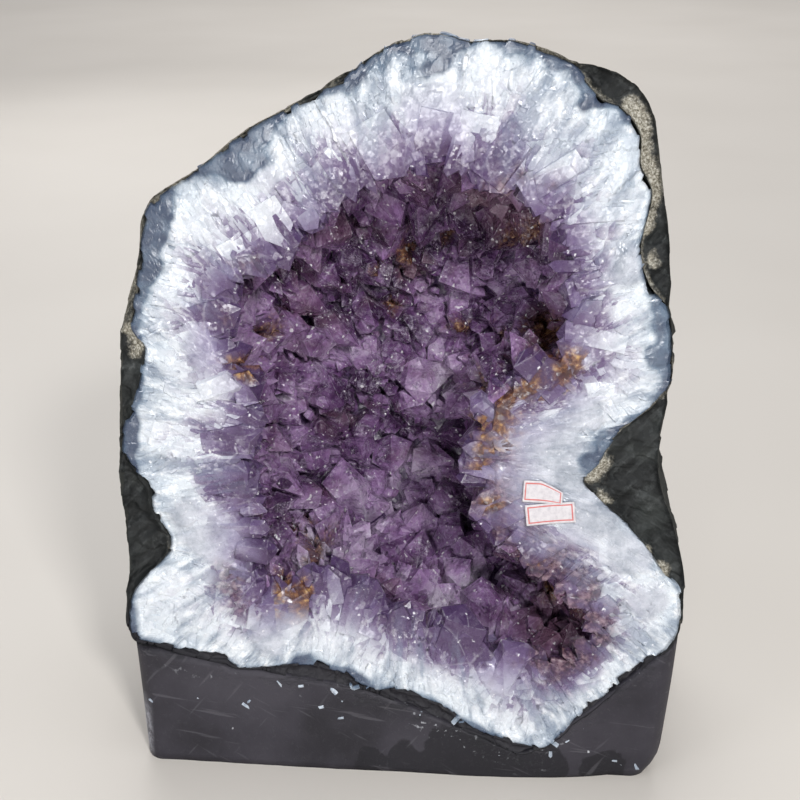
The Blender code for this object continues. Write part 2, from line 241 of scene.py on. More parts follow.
EDGE_MAP, TIP_MAP = distance_map(QUARTZ_CURVE), distance_map(TIP_CURVE)
grid_x, grid_z = np.meshgrid(GRID_X, GRID_Z, indexing="ij")
grid_turn = turn_of(grid_x, grid_z)
grid_reach = np.hypot(grid_x, grid_z - MIDDLE_Z)
in_hollow = grid_reach < reach_of(TIP_CURVE, grid_turn)
off_stone = grid_reach > reach_of(QUARTZ_CURVE, grid_turn)
SHARE_MAP = EDGE_MAP / (EDGE_MAP + TIP_MAP + 1e-6)
SHARE_MAP = np.where(in_hollow, 1 + TIP_MAP / 0.03, np.where(off_stone, -EDGE_MAP / 0.03, SHARE_MAP))
WAY_X_MAP, WAY_Z_MAP = np.gradient(SHARE_MAP, GRID)


def share_at(points):
    """0 at the stone's edge and 1 at the line of the tips, for places on or behind the face."""
    return read_map(SHARE_MAP, points[..., 0], points[..., 2])


def growth_way(x, z):
    """The direction on the face in which a crystal at that place grew: up the slope of the share."""
    way = np.stack([read_map(WAY_X_MAP, x, z), np.zeros_like(x), read_map(WAY_Z_MAP, x, z)], axis=-1)
    return way / np.linalg.norm(way, axis=-1, keepdims=True)


print("share map of", SHARE_MAP.shape, "points")

# %% [markdown]
# A few places on this stone have a character of their own. Slate-blue agate lines the edge in a band of
# changing width. There is golden rust between some crystals, a plum-brown tint at the lower right, milky
# quartz that took a smooth cut, a pale gritty seam where rock meets quartz, and damp cement. Two lists of
# spots paint light and shade into the hollow: it is painted paler at some and darker at others. The band is
# a list of edge points with a width, and the rest are spots with a radius that fade out with ragged limits.
# All are x and z in millimetres.

# %% Named places
AGATE_BAND_MM = [
    (-105, 251, 15), (-100, 256, 9), (-92, 261, 3), (-84, 267, 9), (-72, 276, 14), (-60, 284, 13),
    (-51, 289, 5), (-40, 295, 3), (-26, 302, 9), (-14, 311, 7), (0, 317, 12), (10, 319, 14), (20, 316, 9),
    (26, 316, 3), (35, 317, 5), (46, 315, 9), (59, 308, 10), (70, 298, 9), (80, 293, 5), (89, 279, 3),
    (93, 261, 3), (96, 226, 4), (103, 213, 9), (105, 196, 9), (99, 176, 3), (89, 166, 9), (81, 152, 9),
    (74, 143, 2), (102, 113, 3), (117, 82, 2), (104, 61, 2), (78, 34, 2), (63, 17, 4), (51, 17, 5),
    (33, 23, 5), (0, 40, 3), (-16, 42, 5), (-44, 51, 8), (-62, 49, 3), (-100, 57, 3), (-121, 66, 4),
    (-114, 91, 3), (-110, 122, 3), (-119, 146, 6), (-114, 172, 8), (-111, 187, 3), (-113, 201, 6),
    (-113, 215, 11), (-108, 238, 9),
]
RUST_SPOTS = [
    (41, 158, 4), (33, 154, 4), (30, 146, 3), (32, 163, 4), (52, 183, 4), (60, 188, 5), (66, 191, 4),
    (40, 176, 4), (-67, 186, 4), (-54, 85, 4), (20, 175, 3), (49, 244, 4), (58, 108, 4), (44, 232, 4),
    (-20, 205, 3), (36, 128, 4), (-6, 212, 4), (12, 222, 3), (-14, 186, 3), (72, 76, 4), (66, 66, 3),
    (-44, 88, 3),
]
PLUM_SPOTS = [
    (62, 104, 13), (74, 92, 14), (82, 72, 14), (52, 116, 12), (42, 148, 11), (40, 131, 11), (64, 58, 10),
    (-80, 88, 10), (-76, 74, 11), (58, 190, 9), (40, 242, 12), (30, 250, 12), (88, 84, 8), (-4, 206, 7),
]
# Painted light: round these spots the hollow is painted paler.
PAINTED_LIGHT_SPOTS = [
    (-5, 154, 22), (-24, 165, 16), (8, 196, 14), (-9, 104, 17), (-36, 84, 13), (17, 62, 12), (-53, 150, 10),
    (-40, 56, 12), (-50, 200, 9), (40, 250, 9), (46, 206, 10), (12, 228, 9), (-12, 240, 8), (66, 210, 8),
]
# Painted shade: round these spots the hollow is painted darker, under the overhangs and beside the
# promontory.
PAINTED_SHADE_SPOTS = [
    (30, 222, 9), (56, 228, 8), (58, 190, 10), (24, 118, 13), (76, 64, 12), (30, 100, 10), (-30, 232, 9),
    (-62, 214, 8), (24, 180, 9), (50, 80, 13), (-70, 160, 8), (-14, 134, 8), (-62, 108, 9), (-4, 212, 7),
    (40, 94, 12), (22, 138, 10),
]
CLOUD_SPOTS = [
    (62, 152, 20), (52, 138, 14), (78, 126, 14), (94, 112, 12), (72, 170, 10), (-86, 196, 9), (-84, 110, 12),
    (-94, 122, 8), (8, 290, 12), (-62, 268, 8), (40, 50, 9), (-60, 64, 8), (88, 232, 8), (104, 88, 8),
]
SEAM_SPOTS = [
    (80, 147, 6), (-115, 196, 6), (89, 286, 8), (92, 274, 7), (94, 262, 6), (85, 139, 5), (93, 250, 5),
    (108, 104, 4), (98, 236, 4), (100, 112, 4), (86, 292, 6),
]
DAMP_SPOTS = [(36, 10, 15), (20, 9, 12), (52, 10, 12), (0, 6, 8), (-14, 5, 7), (64, 6, 8), (90, 4, 8)]


def spots_at(spots, points):
    """1 within 0.8 of a spot's radius, fading to 0 at 1.3 of it. Noise makes the radius ragged."""
    wobble = 1 + 0.35 * layered_noise(points, 0.009, 3, seed=41)
    strongest = np.zeros(points.shape[:-1])
    for x, z, radius in spots:
        away = np.hypot(points[..., 0] - x * MM, points[..., 2] - z * MM) / (radius * MM * wobble)
        strongest = np.maximum(strongest, np.clip(2.6 - 2.0 * away, 0, 1))
    return strongest


def agate_at(points):
    """1 in the agate band, fading out over 6 mm where the distance from the edge reaches the ragged width."""
    x, z, width = np.array(AGATE_BAND_MM, float).T * MM
    turns, turn = turn_of(x, z), turn_of(points[..., 0], points[..., 2])
    width = np.interp(turn, np.sort(turns), width[np.argsort(turns)], period=FULL_TURN)
    width = width * (1 + 0.4 * layered_noise(points, 0.012, 3, seed=43))
    from_edge = read_map(EDGE_MAP, points[..., 0], points[..., 2])
    return np.clip((1.15 * width - 0.0010 - from_edge) / 0.0060, 0, 1)


def fan_at(points):
    """Coordinates for streaks from edge to hollow: the direction on a 90 mm circle, and the distance."""
    turn = turn_of(points[..., 0], points[..., 2])
    away = np.hypot(points[..., 0], points[..., 2] - MIDDLE_Z)
    return np.stack([0.09 * np.cos(turn), 0.09 * np.sin(turn), away], axis=-1)


def marks_at(points):
    """What the finishes of quartz and amethyst read at each point, besides share and growth."""
    marks = {"cloud": spots_at(CLOUD_SPOTS, points), "rust": spots_at(RUST_SPOTS, points)}
    # Painted light and shade: light is 1 in the painted-light spots, 0 in the painted-shade spots and 0.5
    # elsewhere.
    marks["light"] = 0.5 + 0.5 * spots_at(PAINTED_LIGHT_SPOTS, points) - 0.5 * spots_at(PAINTED_SHADE_SPOTS, points)
    return marks | {"plum": spots_at(PLUM_SPOTS, points), "agate": agate_at(points), "fan": fan_at(points)}


print(len(AGATE_BAND_MM), "places along the agate band")

# %% [markdown]
# Three helpers put arrays into Blender. Every round form here is a stack of rings from one pole to the
# other, so one function closes them all. The second hangs a mesh on the part's body and hides the solid
# that it stands for. The third makes a mesh with the numbers that its finish reads.

# %% From arrays to pieces
made_pieces = {}


def closed_rings(rings, first_pole, last_pole):
    """Points and triangles of a closed form: each ring is joined to the next, and each pole to its ring."""
    count, spokes = rings.shape[:2]
    points = np.concatenate([rings.reshape(-1, 3), [first_pole, last_pole]])
    here = np.arange(spokes)
    after = (here + 1) % spokes
    start = np.arange(count - 1)[:, None] * spokes
    a, b, c, d = start + here, start + after, start + spokes + after, start + spokes + here
    sides = [np.stack(corners, -1).reshape(-1, 3) for corners in ((a, b, c), (a, c, d))]
    last = (count - 1) * spokes
    caps = [
        np.stack([after, here, np.full(spokes, count * spokes)], -1),
        np.stack([last + here, last + after, np.full(spokes, count * spokes + 1)], -1),
    ]
    return points, np.concatenate([*sides, *caps])


def facing_out(points, faces):
    """The same triangles, turned round if the volume that they enclose comes out negative."""
    volume = np.linalg.det(points[faces] - points.mean(0)).sum() / 6
    return faces if volume > 0 else faces[:, ::-1]


def hang(name, mesh, stands_for=None):
    """An object for the mesh, at the origin, that rides on the part."""
    piece = bpy.data.objects.new(name, mesh)
    bpy.context.scene.collection.objects.link(piece)
    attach(piece, "root")
    if stands_for:
        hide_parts(stands_for)
    made_pieces[name] = piece
    print(f"{name}: {len(mesh.polygons)} triangles")
    return piece


def add_piece(name, points, faces, stands_for, values, soft=False, facet_shades=None, facet_map=None):
    """A piece from points and triangles.

    For its finish, values holds numbers for each point, tones one for each face, and facet_map a pair for
    each corner of each face.
    """
    mesh = bpy.data.meshes.new(name)
    mesh.vertices.add(len(points))
    mesh.vertices.foreach_set("co", leaned(points).astype(np.float32).ravel())
    mesh.loops.add(faces.size)
    mesh.loops.foreach_set("vertex_index", facing_out(points, faces).astype(np.int32).ravel())
    mesh.polygons.add(len(faces))
    mesh.polygons.foreach_set("loop_start", np.arange(0, faces.size, 3, dtype=np.int32))
    for key, numbers in values.items():
        numbers = np.asarray(numbers, np.float32)
        kind, field = ("FLOAT", "value") if numbers.ndim == 1 else ("FLOAT_VECTOR", "vector")
        mesh.attributes.new(key, kind, "POINT").data.foreach_set(field, numbers.ravel())
    if facet_shades is not None:
        mesh.attributes.new("tone", "FLOAT", "FACE").data.foreach_set("value", facet_shades.astype(np.float32))
        mesh.uv_layers.new(name="facet").data.foreach_set("uv", facet_map.astype(np.float32).ravel())
    mesh.update(calc_edges=True)
    mesh.validate()
    if soft:
        mesh.shade_smooth()
    else:
        mesh.shade_flat()
    hang(name, mesh, stands_for)


# %% [markdown]
# The rock and the quartz are deep bowls whose mouth is the cut face. A blunt profile, a superellipse, carries
# the mouth's outline to the back, and on the way the outline's lobes calm down. The top of the stone slopes
# down behind the face, so points above the middle sink with depth. The solids follow the same formulas.

# %% The bowl's profile
QUARTZ_DEPTH, ROCK_DEPTH, WALL_DEPTH = 0.134, 0.145, 0.096
OUTER_BLUNTNESS, WALL_BLUNTNESS = 2.3, 2.6


def blunt(t, bluntness):
    """Radius and depth from mouth to back: cosine and sine of a quarter turn, to the power 2 / bluntness."""
    turn = np.clip(t, 0, 1) * math.pi / 2
    return np.cos(turn) ** (2 / bluntness), np.sin(turn) ** (2 / bluntness)


def calmed(reach, degrees):
    """The outline averaged over that many degrees to each side."""
    width = int(round(degrees / 360 * len(reach)))
    padded = np.concatenate([reach[-width:], reach, reach[:width]])
    return np.convolve(padded, np.ones(2 * width + 1) / (2 * width + 1), "valid")


def sunk(radius, depth, angle):
    """Layout points from polar ones. Above the middle a point sinks by 0.42 of its depth at the very top."""
    above = radius * np.sin(angle)
    fall = 0.42 * np.maximum(depth, 0) * np.clip(above / 0.17, 0, 1)
    return np.stack([radius * np.cos(angle) + 0 * depth, depth + 0 * above, MIDDLE_Z + above - fall], axis=-1)


def bowl_profile(reach, calm_reach, depth, bluntness, t):
    """Radius and depth of each spoke at each t: the outline gives way to its calm copy as t grows."""
    across, back = blunt(t, bluntness)
    calm = np.clip(1.3 * t, 0, 1) ** 1.5
    return (reach * (1 - calm) + calm_reach * calm) * across, depth * back + 0 * reach


# %% [markdown]
# The host rock. On the real stone it is a basalt shell a few millimetres thick at the left and the top,
# and a broad dark face at the right, where the filling draws back. It is made as one closed skin: the
# lumpy outside, the narrow front face, and the inside, which lies hidden behind the quartz. Broken noise
# gives it the flat chips of basalt, pits roughen its outside, and slanting grooves are the marks of the
# tool that trimmed it.

# %% Host rock
ROCK_ROWS = np.concatenate([np.linspace(0.985, 0.20, 54), np.linspace(0.19, 0.0, 13)])[:, None]
FACE_ROWS = np.linspace(0.02, 1, 13)[:, None]
SEAM_GAP = 0.0002
KNOB_TURNS, KNOB_DEPTHS = 60, 6
rock_knobs = np.random.default_rng(3).normal(0, 0.5, (KNOB_TURNS, KNOB_DEPTHS))
rock_knobs = np.mean([np.roll(rock_knobs, k) for k in (-1, 0, 1)], axis=0)
THIN_RIND = 1 - np.clip((ROCK_REACH - QUARTZ_REACH - 0.0026) / 0.004, 0, 1)


def knobs_at(angles, t):
    """The rock's knobs, smoothed between the 60 directions and 6 depths at which they were drawn."""
    u, v = angles / FULL_TURN * KNOB_TURNS, np.clip(t * KNOB_DEPTHS, 0, KNOB_DEPTHS - 1.001)
    i, j = np.floor(u).astype(int), np.floor(v).astype(int)
    u, v = (p * p * (3 - 2 * p) for p in (u - i, v - j))
    near, far = rock_knobs[i % KNOB_TURNS], rock_knobs[(i + 1) % KNOB_TURNS]
    i = np.arange(angles.size)[None, :]
    low = near[i, j] * (1 - u) + far[i, j] * u
    high = near[i, j + 1] * (1 - u) + far[i, j + 1] * u
    return low * (1 - v) + high * v


def rock_skin(angles, t):
    """Radius and depth of the outside of the rock, with its broad lumps, before the fine relief."""
    reach, calm_reach = at_turn(ROCK_REACH, angles), at_turn(calmed(ROCK_REACH, 30) + 0.004, angles)
    radius, depth = bowl_profile(reach, calm_reach, ROCK_DEPTH, OUTER_BLUNTNESS, t)
    broad = np.sin(3 * angles + 1.1) * np.sin(2.6 * t + 0.4) + 0.7 * np.sin(5 * angles - 4 * t + 2.0)
    knobs = knobs_at(angles, t) * np.clip((1 - t) / 0.45, 0, 1)
    lump = (0.5 + 0.2 * broad + knobs) * np.clip(t / 0.3, 0, 1) * np.cos(t * math.pi / 2)
    return radius + 0.011 * lump * np.cos(t * math.pi / 2), depth + 0.011 * lump * np.sin(t * math.pi / 2)


def rock_outside():
    """Rings of the outside from back to front: the skin, moved out by its relief, less the pits."""
    radius, depth = rock_skin(SPOKE_ANGLES, ROCK_ROWS)
    radius = radius - THIN_RIND * 0.0013 * np.clip(1 - ROCK_ROWS / 0.04, 0, 1)
    skin = sunk(radius, depth, SPOKE_ANGLES)
    pits = np.clip(smooth_noise(skin, 0.0042, 13) - 0.35, 0, 1)
    relief = 0.0019 * layered_noise(skin, 0.020, 5, 5) + 0.0011 * broken_noise(skin, 0.010, 9)
    relief = (relief - 0.0014 - 0.0022 * pits) * np.clip(ROCK_ROWS / 0.03, 0.25, 1)
    out = ROCK_ROWS * math.pi / 2
    return sunk(radius + relief * np.cos(out), depth + relief * np.sin(out), SPOKE_ANGLES)


def rock_face():
    """Rings of the front face from the rock's edge to the quartz: dished where it is wide, and grooved."""
    outer = ROCK_REACH - 0.0013 * THIN_RIND
    radius = outer + (QUARTZ_REACH + SEAM_GAP - outer) * FACE_ROWS
    flat = sunk(radius, np.zeros_like(radius), SPOKE_ANGLES)
    width = np.clip((ROCK_REACH - QUARTZ_REACH) / 0.012, 0, 1)
    slanting = np.sin((flat[..., 0] * 0.75 - flat[..., 2] * 0.66) * 900 + 3 * smooth_noise(flat, 0.02, 8))
    dip = 0.0012 + 0.0022 * THIN_RIND + 0.0030 * width * np.sin(FACE_ROWS * math.pi) ** 0.7
    dip = dip + 0.0008 * layered_noise(flat, 0.007, 4, 15) + 0.0009 * broken_noise(flat, 0.0075, 19)
    dip = dip * (1 - 0.7 * spots_at(SEAM_SPOTS, flat) * FACE_ROWS)
    return sunk(radius, np.maximum(dip + 0.0003 * slanting * width, 0.0), SPOKE_ANGLES)


def seam_at(points):
    """How gritty the rock is: in patches along the seam, in wide spots, and where the rind is thin."""
    turn = turn_of(points[:, 0], points[:, 2])
    off_quartz = np.hypot(points[:, 0], points[:, 2] - MIDDLE_Z) - at_turn(QUARTZ_REACH, turn)
    spots = spots_at(SEAM_SPOTS, points)
    seam = np.clip(1.25 - off_quartz / 0.0022, 0, 1) * np.clip(1.5 - points[:, 1] / 0.004, 0, 1)
    seam = seam * np.maximum(np.clip(0.1 + 1.6 * layered_noise(points, 0.03, 3, 25), 0, 0.5), spots)
    wide = np.clip(1.4 - off_quartz / 0.0065, 0, 1) * spots * (points[:, 1] < 0.006)
    high = np.clip(points[:, 2] / 0.05 - 1.6, 0, 1)
    crust = at_turn(THIN_RIND, turn) * np.clip(1.3 - points[:, 1] / 0.006, 0, 1) * high
    crust = crust * np.clip(0.80 + 0.8 * layered_noise(points, 0.02, 3, 27), 0, 1)
    return np.maximum(np.maximum(seam, wide), 0.85 * crust)


def host_rock():
    """The closed skin: rings of the outside, the front face and the hidden inside, from pole to pole."""
    hidden_rows = np.linspace(0.02, 0.95, 6)[:, None]
    reach, calm_reach = QUARTZ_REACH + SEAM_GAP, calmed(QUARTZ_REACH, 30) + SEAM_GAP
    inside = bowl_profile(reach, calm_reach, QUARTZ_DEPTH + 0.0003, OUTER_BLUNTNESS, hidden_rows)
    rings = np.concatenate([rock_outside(), rock_face(), sunk(*inside, SPOKE_ANGLES)])
    back, inner_back = (np.array([0, depth, MIDDLE_Z]) for depth in (ROCK_DEPTH - 0.0005, QUARTZ_DEPTH))
    points, faces = closed_rings(rings, back, inner_back)
    ring = np.arange(len(points)) // SPOKES - len(ROCK_ROWS)
    sawn = ((ring >= 0) & (ring < len(FACE_ROWS))).astype(float)
    values = {"seam": seam_at(points), "sawn": sawn}
    add_piece("host_rock", points, faces, "basalt_rind", values, soft=True)


host_rock()

# %% [markdown]
# The quartz wall. Its front is the cut face: a ring of quartz columns that was sawn, so it is flat, but
# each column gave way a little differently. One closed skin again: the outside, the chipped edge, the
# front and the wall of the hollow. The front is drawn as a grid from the edge inwards. Broken noise in
# cells stretched from edge to hollow gives each column its own slight slope, and the agate stays flattest.

# %% Quartz wall
FRONT_ROWS = np.linspace(0, 1, 50)[:, None]
WALL_CALM = 36


def quartz_front_depth(flat, smooth):
    """How far the front lies behind the cut: steps in long cells of two sizes, nearly flat where smooth."""
    long_cells = fan_at(flat) * np.array([1, 1, 0.45])
    steps = 0.00055 * broken_noise(long_cells, 0.0085, 61) + 0.00035 * broken_noise(long_cells, 0.0028, 71)
    steps = steps + 0.0003 * layered_noise(flat, 0.012, 3, 77)
    return 0.0014 - 0.0007 * smooth + (1 - 0.8 * smooth) * steps


def quartz_wall():
    """The closed skin: rings of the outside, the cut front and the wall of the hollow, from pole to pole."""
    edge_line = sunk(QUARTZ_REACH, 0 * QUARTZ_REACH, SPOKE_ANGLES)
    chips = 0.0011 * broken_noise(edge_line, 0.0055, 31) + 0.0009 * layered_noise(edge_line, 0.010, 3, 33)
    edge = QUARTZ_REACH + 0.0009 * THIN_RIND + np.clip(chips + 0.0002, -0.0024, 0.0012)
    outer_rows = np.linspace(0.95, 0.03, 7)[:, None]
    calm_reach = calmed(QUARTZ_REACH, 30) - 0.0004
    outer = bowl_profile(QUARTZ_REACH - 0.0004, calm_reach, QUARTZ_DEPTH, OUTER_BLUNTNESS, outer_rows)
    front_radius = edge + (TIP_REACH + 0.006 - edge) * FRONT_ROWS
    flat = sunk(front_radius, np.zeros_like(front_radius), SPOKE_ANGLES)
    smooth = np.maximum(agate_at(flat), spots_at(CLOUD_SPOTS, flat))
    from_edge = (edge - front_radius) / 0.002
    drop = 0.0016 * np.clip(1 - from_edge, 0, 1) ** 2 + 0.004 * np.clip((FRONT_ROWS - 0.86) / 0.14, 0, 1) ** 2
    front = sunk(front_radius, np.maximum(quartz_front_depth(flat, smooth) + drop, 0.0001), SPOKE_ANGLES)
    wall_rows = np.linspace(0.16, 0.96, 11)[:, None]
    inner = bowl_profile(WALL_REACH, calmed(WALL_REACH, WALL_CALM), WALL_DEPTH, WALL_BLUNTNESS, wall_rows)
    wall = sunk(*inner, SPOKE_ANGLES)
    wall = wall + 0.0008 * layered_noise(wall, 0.012, 2, 91)[..., None]
    rings = np.concatenate([sunk(*outer, SPOKE_ANGLES), front, wall])
    back, wall_back = (np.array([0, depth, MIDDLE_Z]) for depth in (QUARTZ_DEPTH, WALL_DEPTH))
    points, faces = closed_rings(rings, back, wall_back)
    # Painted shade: further back, the wall of the hollow behind the crystals is painted darker.
    deep = np.clip((points[:, 1] - 0.004) / 0.010, 0, 1)
    share = share_at(points) + 0.5 * deep * (points[:, 1] < WALL_DEPTH + 0.001)
    values = marks_at(points) | {"share": share, "own": 0.5 + 0.5 * smooth_noise(points, 0.0065, 61)}
    add_piece("quartz_wall", points, faces, "quartz_band", values)


quartz_wall()

# %% [markdown]
# A quartz crystal is a six-sided prism with a pointed end of six faces, three of them larger. That is
# thirteen points and 22 triangles, few enough to repeat it thousands of times. All crystals of a kind are
# worked out at once as arrays, one row a crystal, so there is no loop over them.

# %% The crystal
HEX_TURNS = np.arange(6) * math.pi / 3
POINTS_EACH = 13
CRYSTAL_FACES = np.array(
    [(k, (k + 1) % 6, 6 + (k + 1) % 6) for k in range(6)]
    + [(k, 6 + (k + 1) % 6, 6 + k) for k in range(6)]
    + [(6 + k, 6 + (k + 1) % 6, 12) for k in range(6)]
    + [(0, k + 1, k) for k in range(1, 5)]
)
FACET_MAP = np.array(
    [((-1, -1), (1, -1), (1, 0))] * 6 + [((-1, -1), (1, 0), (-1, 0))] * 6
    + [((-1, 0), (1, 0), (0, 1))] * 6 + [((0, -1), (0, -1), (0, -1))] * 4,
    float,
)


def unit(vectors):
    """The vectors at a length of one."""
    return vectors / np.linalg.norm(vectors, axis=-1, keepdims=True)


def crystals(roots, axes, radii, lengths, draw, taper=0.92, pointed=0.75):
    """Points of n crystals, as n by 13 by 3: six at the root, six at the shoulder and the tip.

    A shoulder point lies below the tip by about the radius times pointed, and every second one by 1.38 times
    that. The tip leans to one side, because a crystal that grew in a crowd has one face larger than the rest.
    """
    n = len(roots)
    axes = unit(axes)
    side = unit(np.cross(axes, unit(np.array([0.31, 0.23, 0.92]) + draw.normal(0, 0.2, (n, 3)))))
    other = np.cross(axes, side)
    turns = HEX_TURNS + draw.uniform(0, math.pi, (n, 1))
    uneven = draw.uniform(0.74, 1.12, (n, 6))
    flatness = draw.uniform(0.60, 1.0, (n, 1))
    spokes = np.cos(turns)[..., None] * side[:, None] + (flatness * np.sin(turns))[..., None] * other[:, None]
    spokes = spokes * (radii[:, None] * uneven)[..., None]
    every_second = 1 + np.arange(6) % 2 * 0.38
    steepness = pointed * draw.uniform(0.65, 1.25, (n, 1))
    drop = radii[:, None] * (steepness * every_second + draw.uniform(-0.1, 0.25, (n, 6)))
    shoulder = np.maximum(lengths[:, None] - drop, 0.25 * lengths[:, None])
    at_root = roots[:, None] + spokes * taper
    shoulders = roots[:, None] + spokes + shoulder[..., None] * axes[:, None]
    lean = draw.normal(0, 0.32, (n, 1)) * side + draw.normal(0, 0.32, (n, 1)) * other
    tips = roots + axes * lengths[:, None] + lean * radii[:, None]
    return np.concatenate([at_root, shoulders, tips[:, None]], axis=1)


def cut_off(points, lowest_depth, tilt_x, tilt_z):
    """Crystals cut off at the face: no point lies in front of the crystal's own, slightly tilted plane."""
    away = points - points.mean(axis=1, keepdims=True)
    plane = lowest_depth[:, None] + tilt_x[:, None] * away[..., 0] + tilt_z[:, None] * away[..., 2]
    cut = points.copy()
    cut[..., 1] = np.maximum(points[..., 1], np.maximum(plane, 0.0))
    return cut


def spaced(points, spacing):
    """Which points to keep so that no two are closer than the spacing: each is clear of all kept before."""
    kept, places = [], np.full((len(points), 3), 9.0)
    for i, point in enumerate(points):
        if ((places[: len(kept) + 1] - point) ** 2).sum(-1).min() > spacing**2:
            places[len(kept)] = point
            kept.append(i)
    return np.array(kept)


def add_crystals(name, points, own, stands_for=None, lift=0.0):
    """One piece from many crystals, with the numbers that its finish reads.

    Each of a crystal's twelve faces has its own random number, and so has its cut: the finishes paint single
    faces darker by it, a painted shade. On the facet map, u runs from -1 to 1 across a face, and v from -1 at
    the root through 0 at the shoulder to 1 at the tip. A cut has no edges.
    """
    n = len(points)
    tone = np.random.default_rng(n).uniform(0, 1, (n, 13))
    facet_shades = tone[:, [0, 1, 2, 3, 4, 5] * 2 + [6, 7, 8, 9, 10, 11] + [12] * 4]
    corners = points[:, CRYSTAL_FACES]
    normals = np.cross(corners[..., 1, :] - corners[..., 0, :], corners[..., 2, :] - corners[..., 0, :])
    sawn = (corners[..., 1].max(-1) < 0.004) & (-normals[..., 1] > 0.93 * np.linalg.norm(normals, axis=-1))
    facet_shades = np.where(sawn, tone[:, 12:], facet_shades).reshape(-1)
    facet_map = np.where(sawn[..., None, None], np.array([0, -0.5]), FACET_MAP)
    growth = np.concatenate([np.zeros(6), np.full(6, 0.7), np.ones(1)])
    flat = points.reshape(-1, 3)
    faces = (CRYSTAL_FACES + POINTS_EACH * np.arange(n)[:, None, None]).reshape(-1, 3)
    values = marks_at(flat) | {
        "share": share_at(flat) + lift, "growth": np.tile(growth, n), "own": np.repeat(own, POINTS_EACH),
    }
    add_piece(name, flat, faces, stands_for, values, facet_shades=facet_shades, facet_map=facet_map)


# %% [markdown]
# The front of the real quartz is made of columns that all point to the hollow, fine near the edge and
# stouter nearer the hollow. They lie in the face, and the saw cut each at nearly the same height. A slight
# slope of its own is what makes each of them glitter at another moment. The agate stays bare.

# %% Quartz columns
draw = np.random.default_rng(17)


def strewn_on_face(count, low, high, keep_off_agate=True):
    """Random places on the face whose share lies between low and high."""
    x = draw.uniform(GRID_X[0], GRID_X[-1], count * 8)
    z = draw.uniform(GRID_Z[0], GRID_Z[-1], count * 8)
    places = np.stack([x, 0 * x, z], axis=-1)
    share = share_at(places)
    wanted = (share > low) & (share < high)
    if keep_off_agate:
        wanted &= np.maximum(agate_at(places), spots_at(CLOUD_SPOTS, places)) < 0.35
    return places[wanted][:count]


def face_crystals(places, radius, length, depth, wobble=0.16, pointed=0.75, slope=0.07, behind=0.0009):
    """Crystals that lie in the face and point the way they grew, cut off a little behind the sawn plane."""
    n = len(places)
    axes = growth_way(places[:, 0], places[:, 2]) + draw.normal(0, wobble, (n, 3))
    roots = places + np.array([0, 1, 0]) * depth[:, None]
    points = crystals(roots, axes, radius, length, draw, pointed=pointed)
    lowest = behind + np.abs(draw.normal(0, 0.0005, n))
    return cut_off(points, lowest, draw.normal(0, slope, n), draw.normal(0, slope, n))


def quartz_columns():
    """Fine columns over most of the face, and stouter ones nearer the hollow."""
    kinds = []
    for count, low, high, radii, lengths, depths in (
        (1500, 0.05, 0.60, (0.0010, 0.0024), (0.006, 0.014), (0.0006, 0.0022)),
        (900, 0.22, 0.72, (0.0018, 0.0042), (0.008, 0.019), (0.0008, 0.0036)),
    ):
        places = strewn_on_face(count, low, high)
        n = len(places)
        radius, length, depth = (draw.uniform(*limits, n) for limits in (radii, lengths, depths))
        kinds.append(face_crystals(places, radius, length, depth))
    points = np.concatenate(kinds)
    add_crystals("quartz_columns", points, draw.uniform(0, 1, len(points)))


quartz_columns()

# %% [markdown]
# Round the hollow's mouth the columns end in large lilac points, cut off at the face. They start in the white
# quartz and reach the line of the tips.

# %% Points round the mouth
# The largest ones: x and z of the root on the face, depth, radius and length, in millimetres
LARGE_POINTS_MM = [
    (-19, 286, 3, 14, 26), (39, 283, 5, 14, 27), (66, 272, 6, 11, 26), (-42, 270, 3, 10, 22),
    (-74, 240, 4, 9, 18), (-60, 254, 3, 11, 20), (-24, 66, 5, 13, 28), (-48, 64, 4, 11, 26),
    (-86, 152, 5, 11, 26), (-86, 128, 4, 11, 25), (58, 134, 5, 13, 32), (88, 200, 6, 11, 28),
    (18, 52, 5, 12, 28), (-90, 205, 4, 11, 22), (56, 156, 6, 13, 28), (62, 178, 5, 10, 24),
    (-86, 174, 4, 12, 22), (86, 226, 5, 10, 24), (10, 292, 3, 11, 22), (84, 252, 5, 9, 24),
    (-74, 104, 4, 10, 18), (44, 44, 5, 10, 24), (-4, 56, 4, 10, 26), (66, 120, 4, 10, 22),
    (-88, 92, 4, 9, 20),
]


def mouth_points():
    """Points of two sizes, each as long as the way to the line of the tips, and the large ones as listed."""
    kinds = []
    for count, low, high, spacing, wide, slender in (
        (900, 0.50, 0.80, 0.0120, (0.0065, 0.0125), 0.70),
        (1500, 0.66, 0.93, 0.0075, (0.0040, 0.0068), 0.60),
    ):
        places = strewn_on_face(count, low, high, keep_off_agate=False)
        places = places[spaced(places, spacing)]
        n = len(places)
        length = 0.003 + read_map(TIP_MAP, places[:, 0], places[:, 2]) + draw.uniform(-0.001, 0.005, n)
        radius = np.minimum(draw.uniform(*wide, n), slender * length)
        depth = draw.uniform(0.0005, 0.0080, n)
        kinds.append(face_crystals(places, radius, length, depth, 0.14, 0.50, 0.12, 0.0006))
    x, z, depth, radius, length = np.array(LARGE_POINTS_MM, float).T * MM
    places = np.stack([x, 0 * x, z], axis=-1)
    kinds.append(face_crystals(places, radius, length, depth, 0.10, 0.35, 0.05, 0.0001))
    points = np.concatenate(kinds)
    add_crystals("mouth_points", points, draw.uniform(0, 1, len(points)))


mouth_points()

# %% [markdown]
# Amethyst crystals cover the wall of the hollow, large ones first, then ever smaller ones between them.
# Places are strewn evenly over the wall and thinned until they keep their distance, and each crystal
# stands on the wall within a few degrees, which is why their tips crowd towards the open middle.

# %% Amethyst crystals in the hollow
ROOTED = 0.003


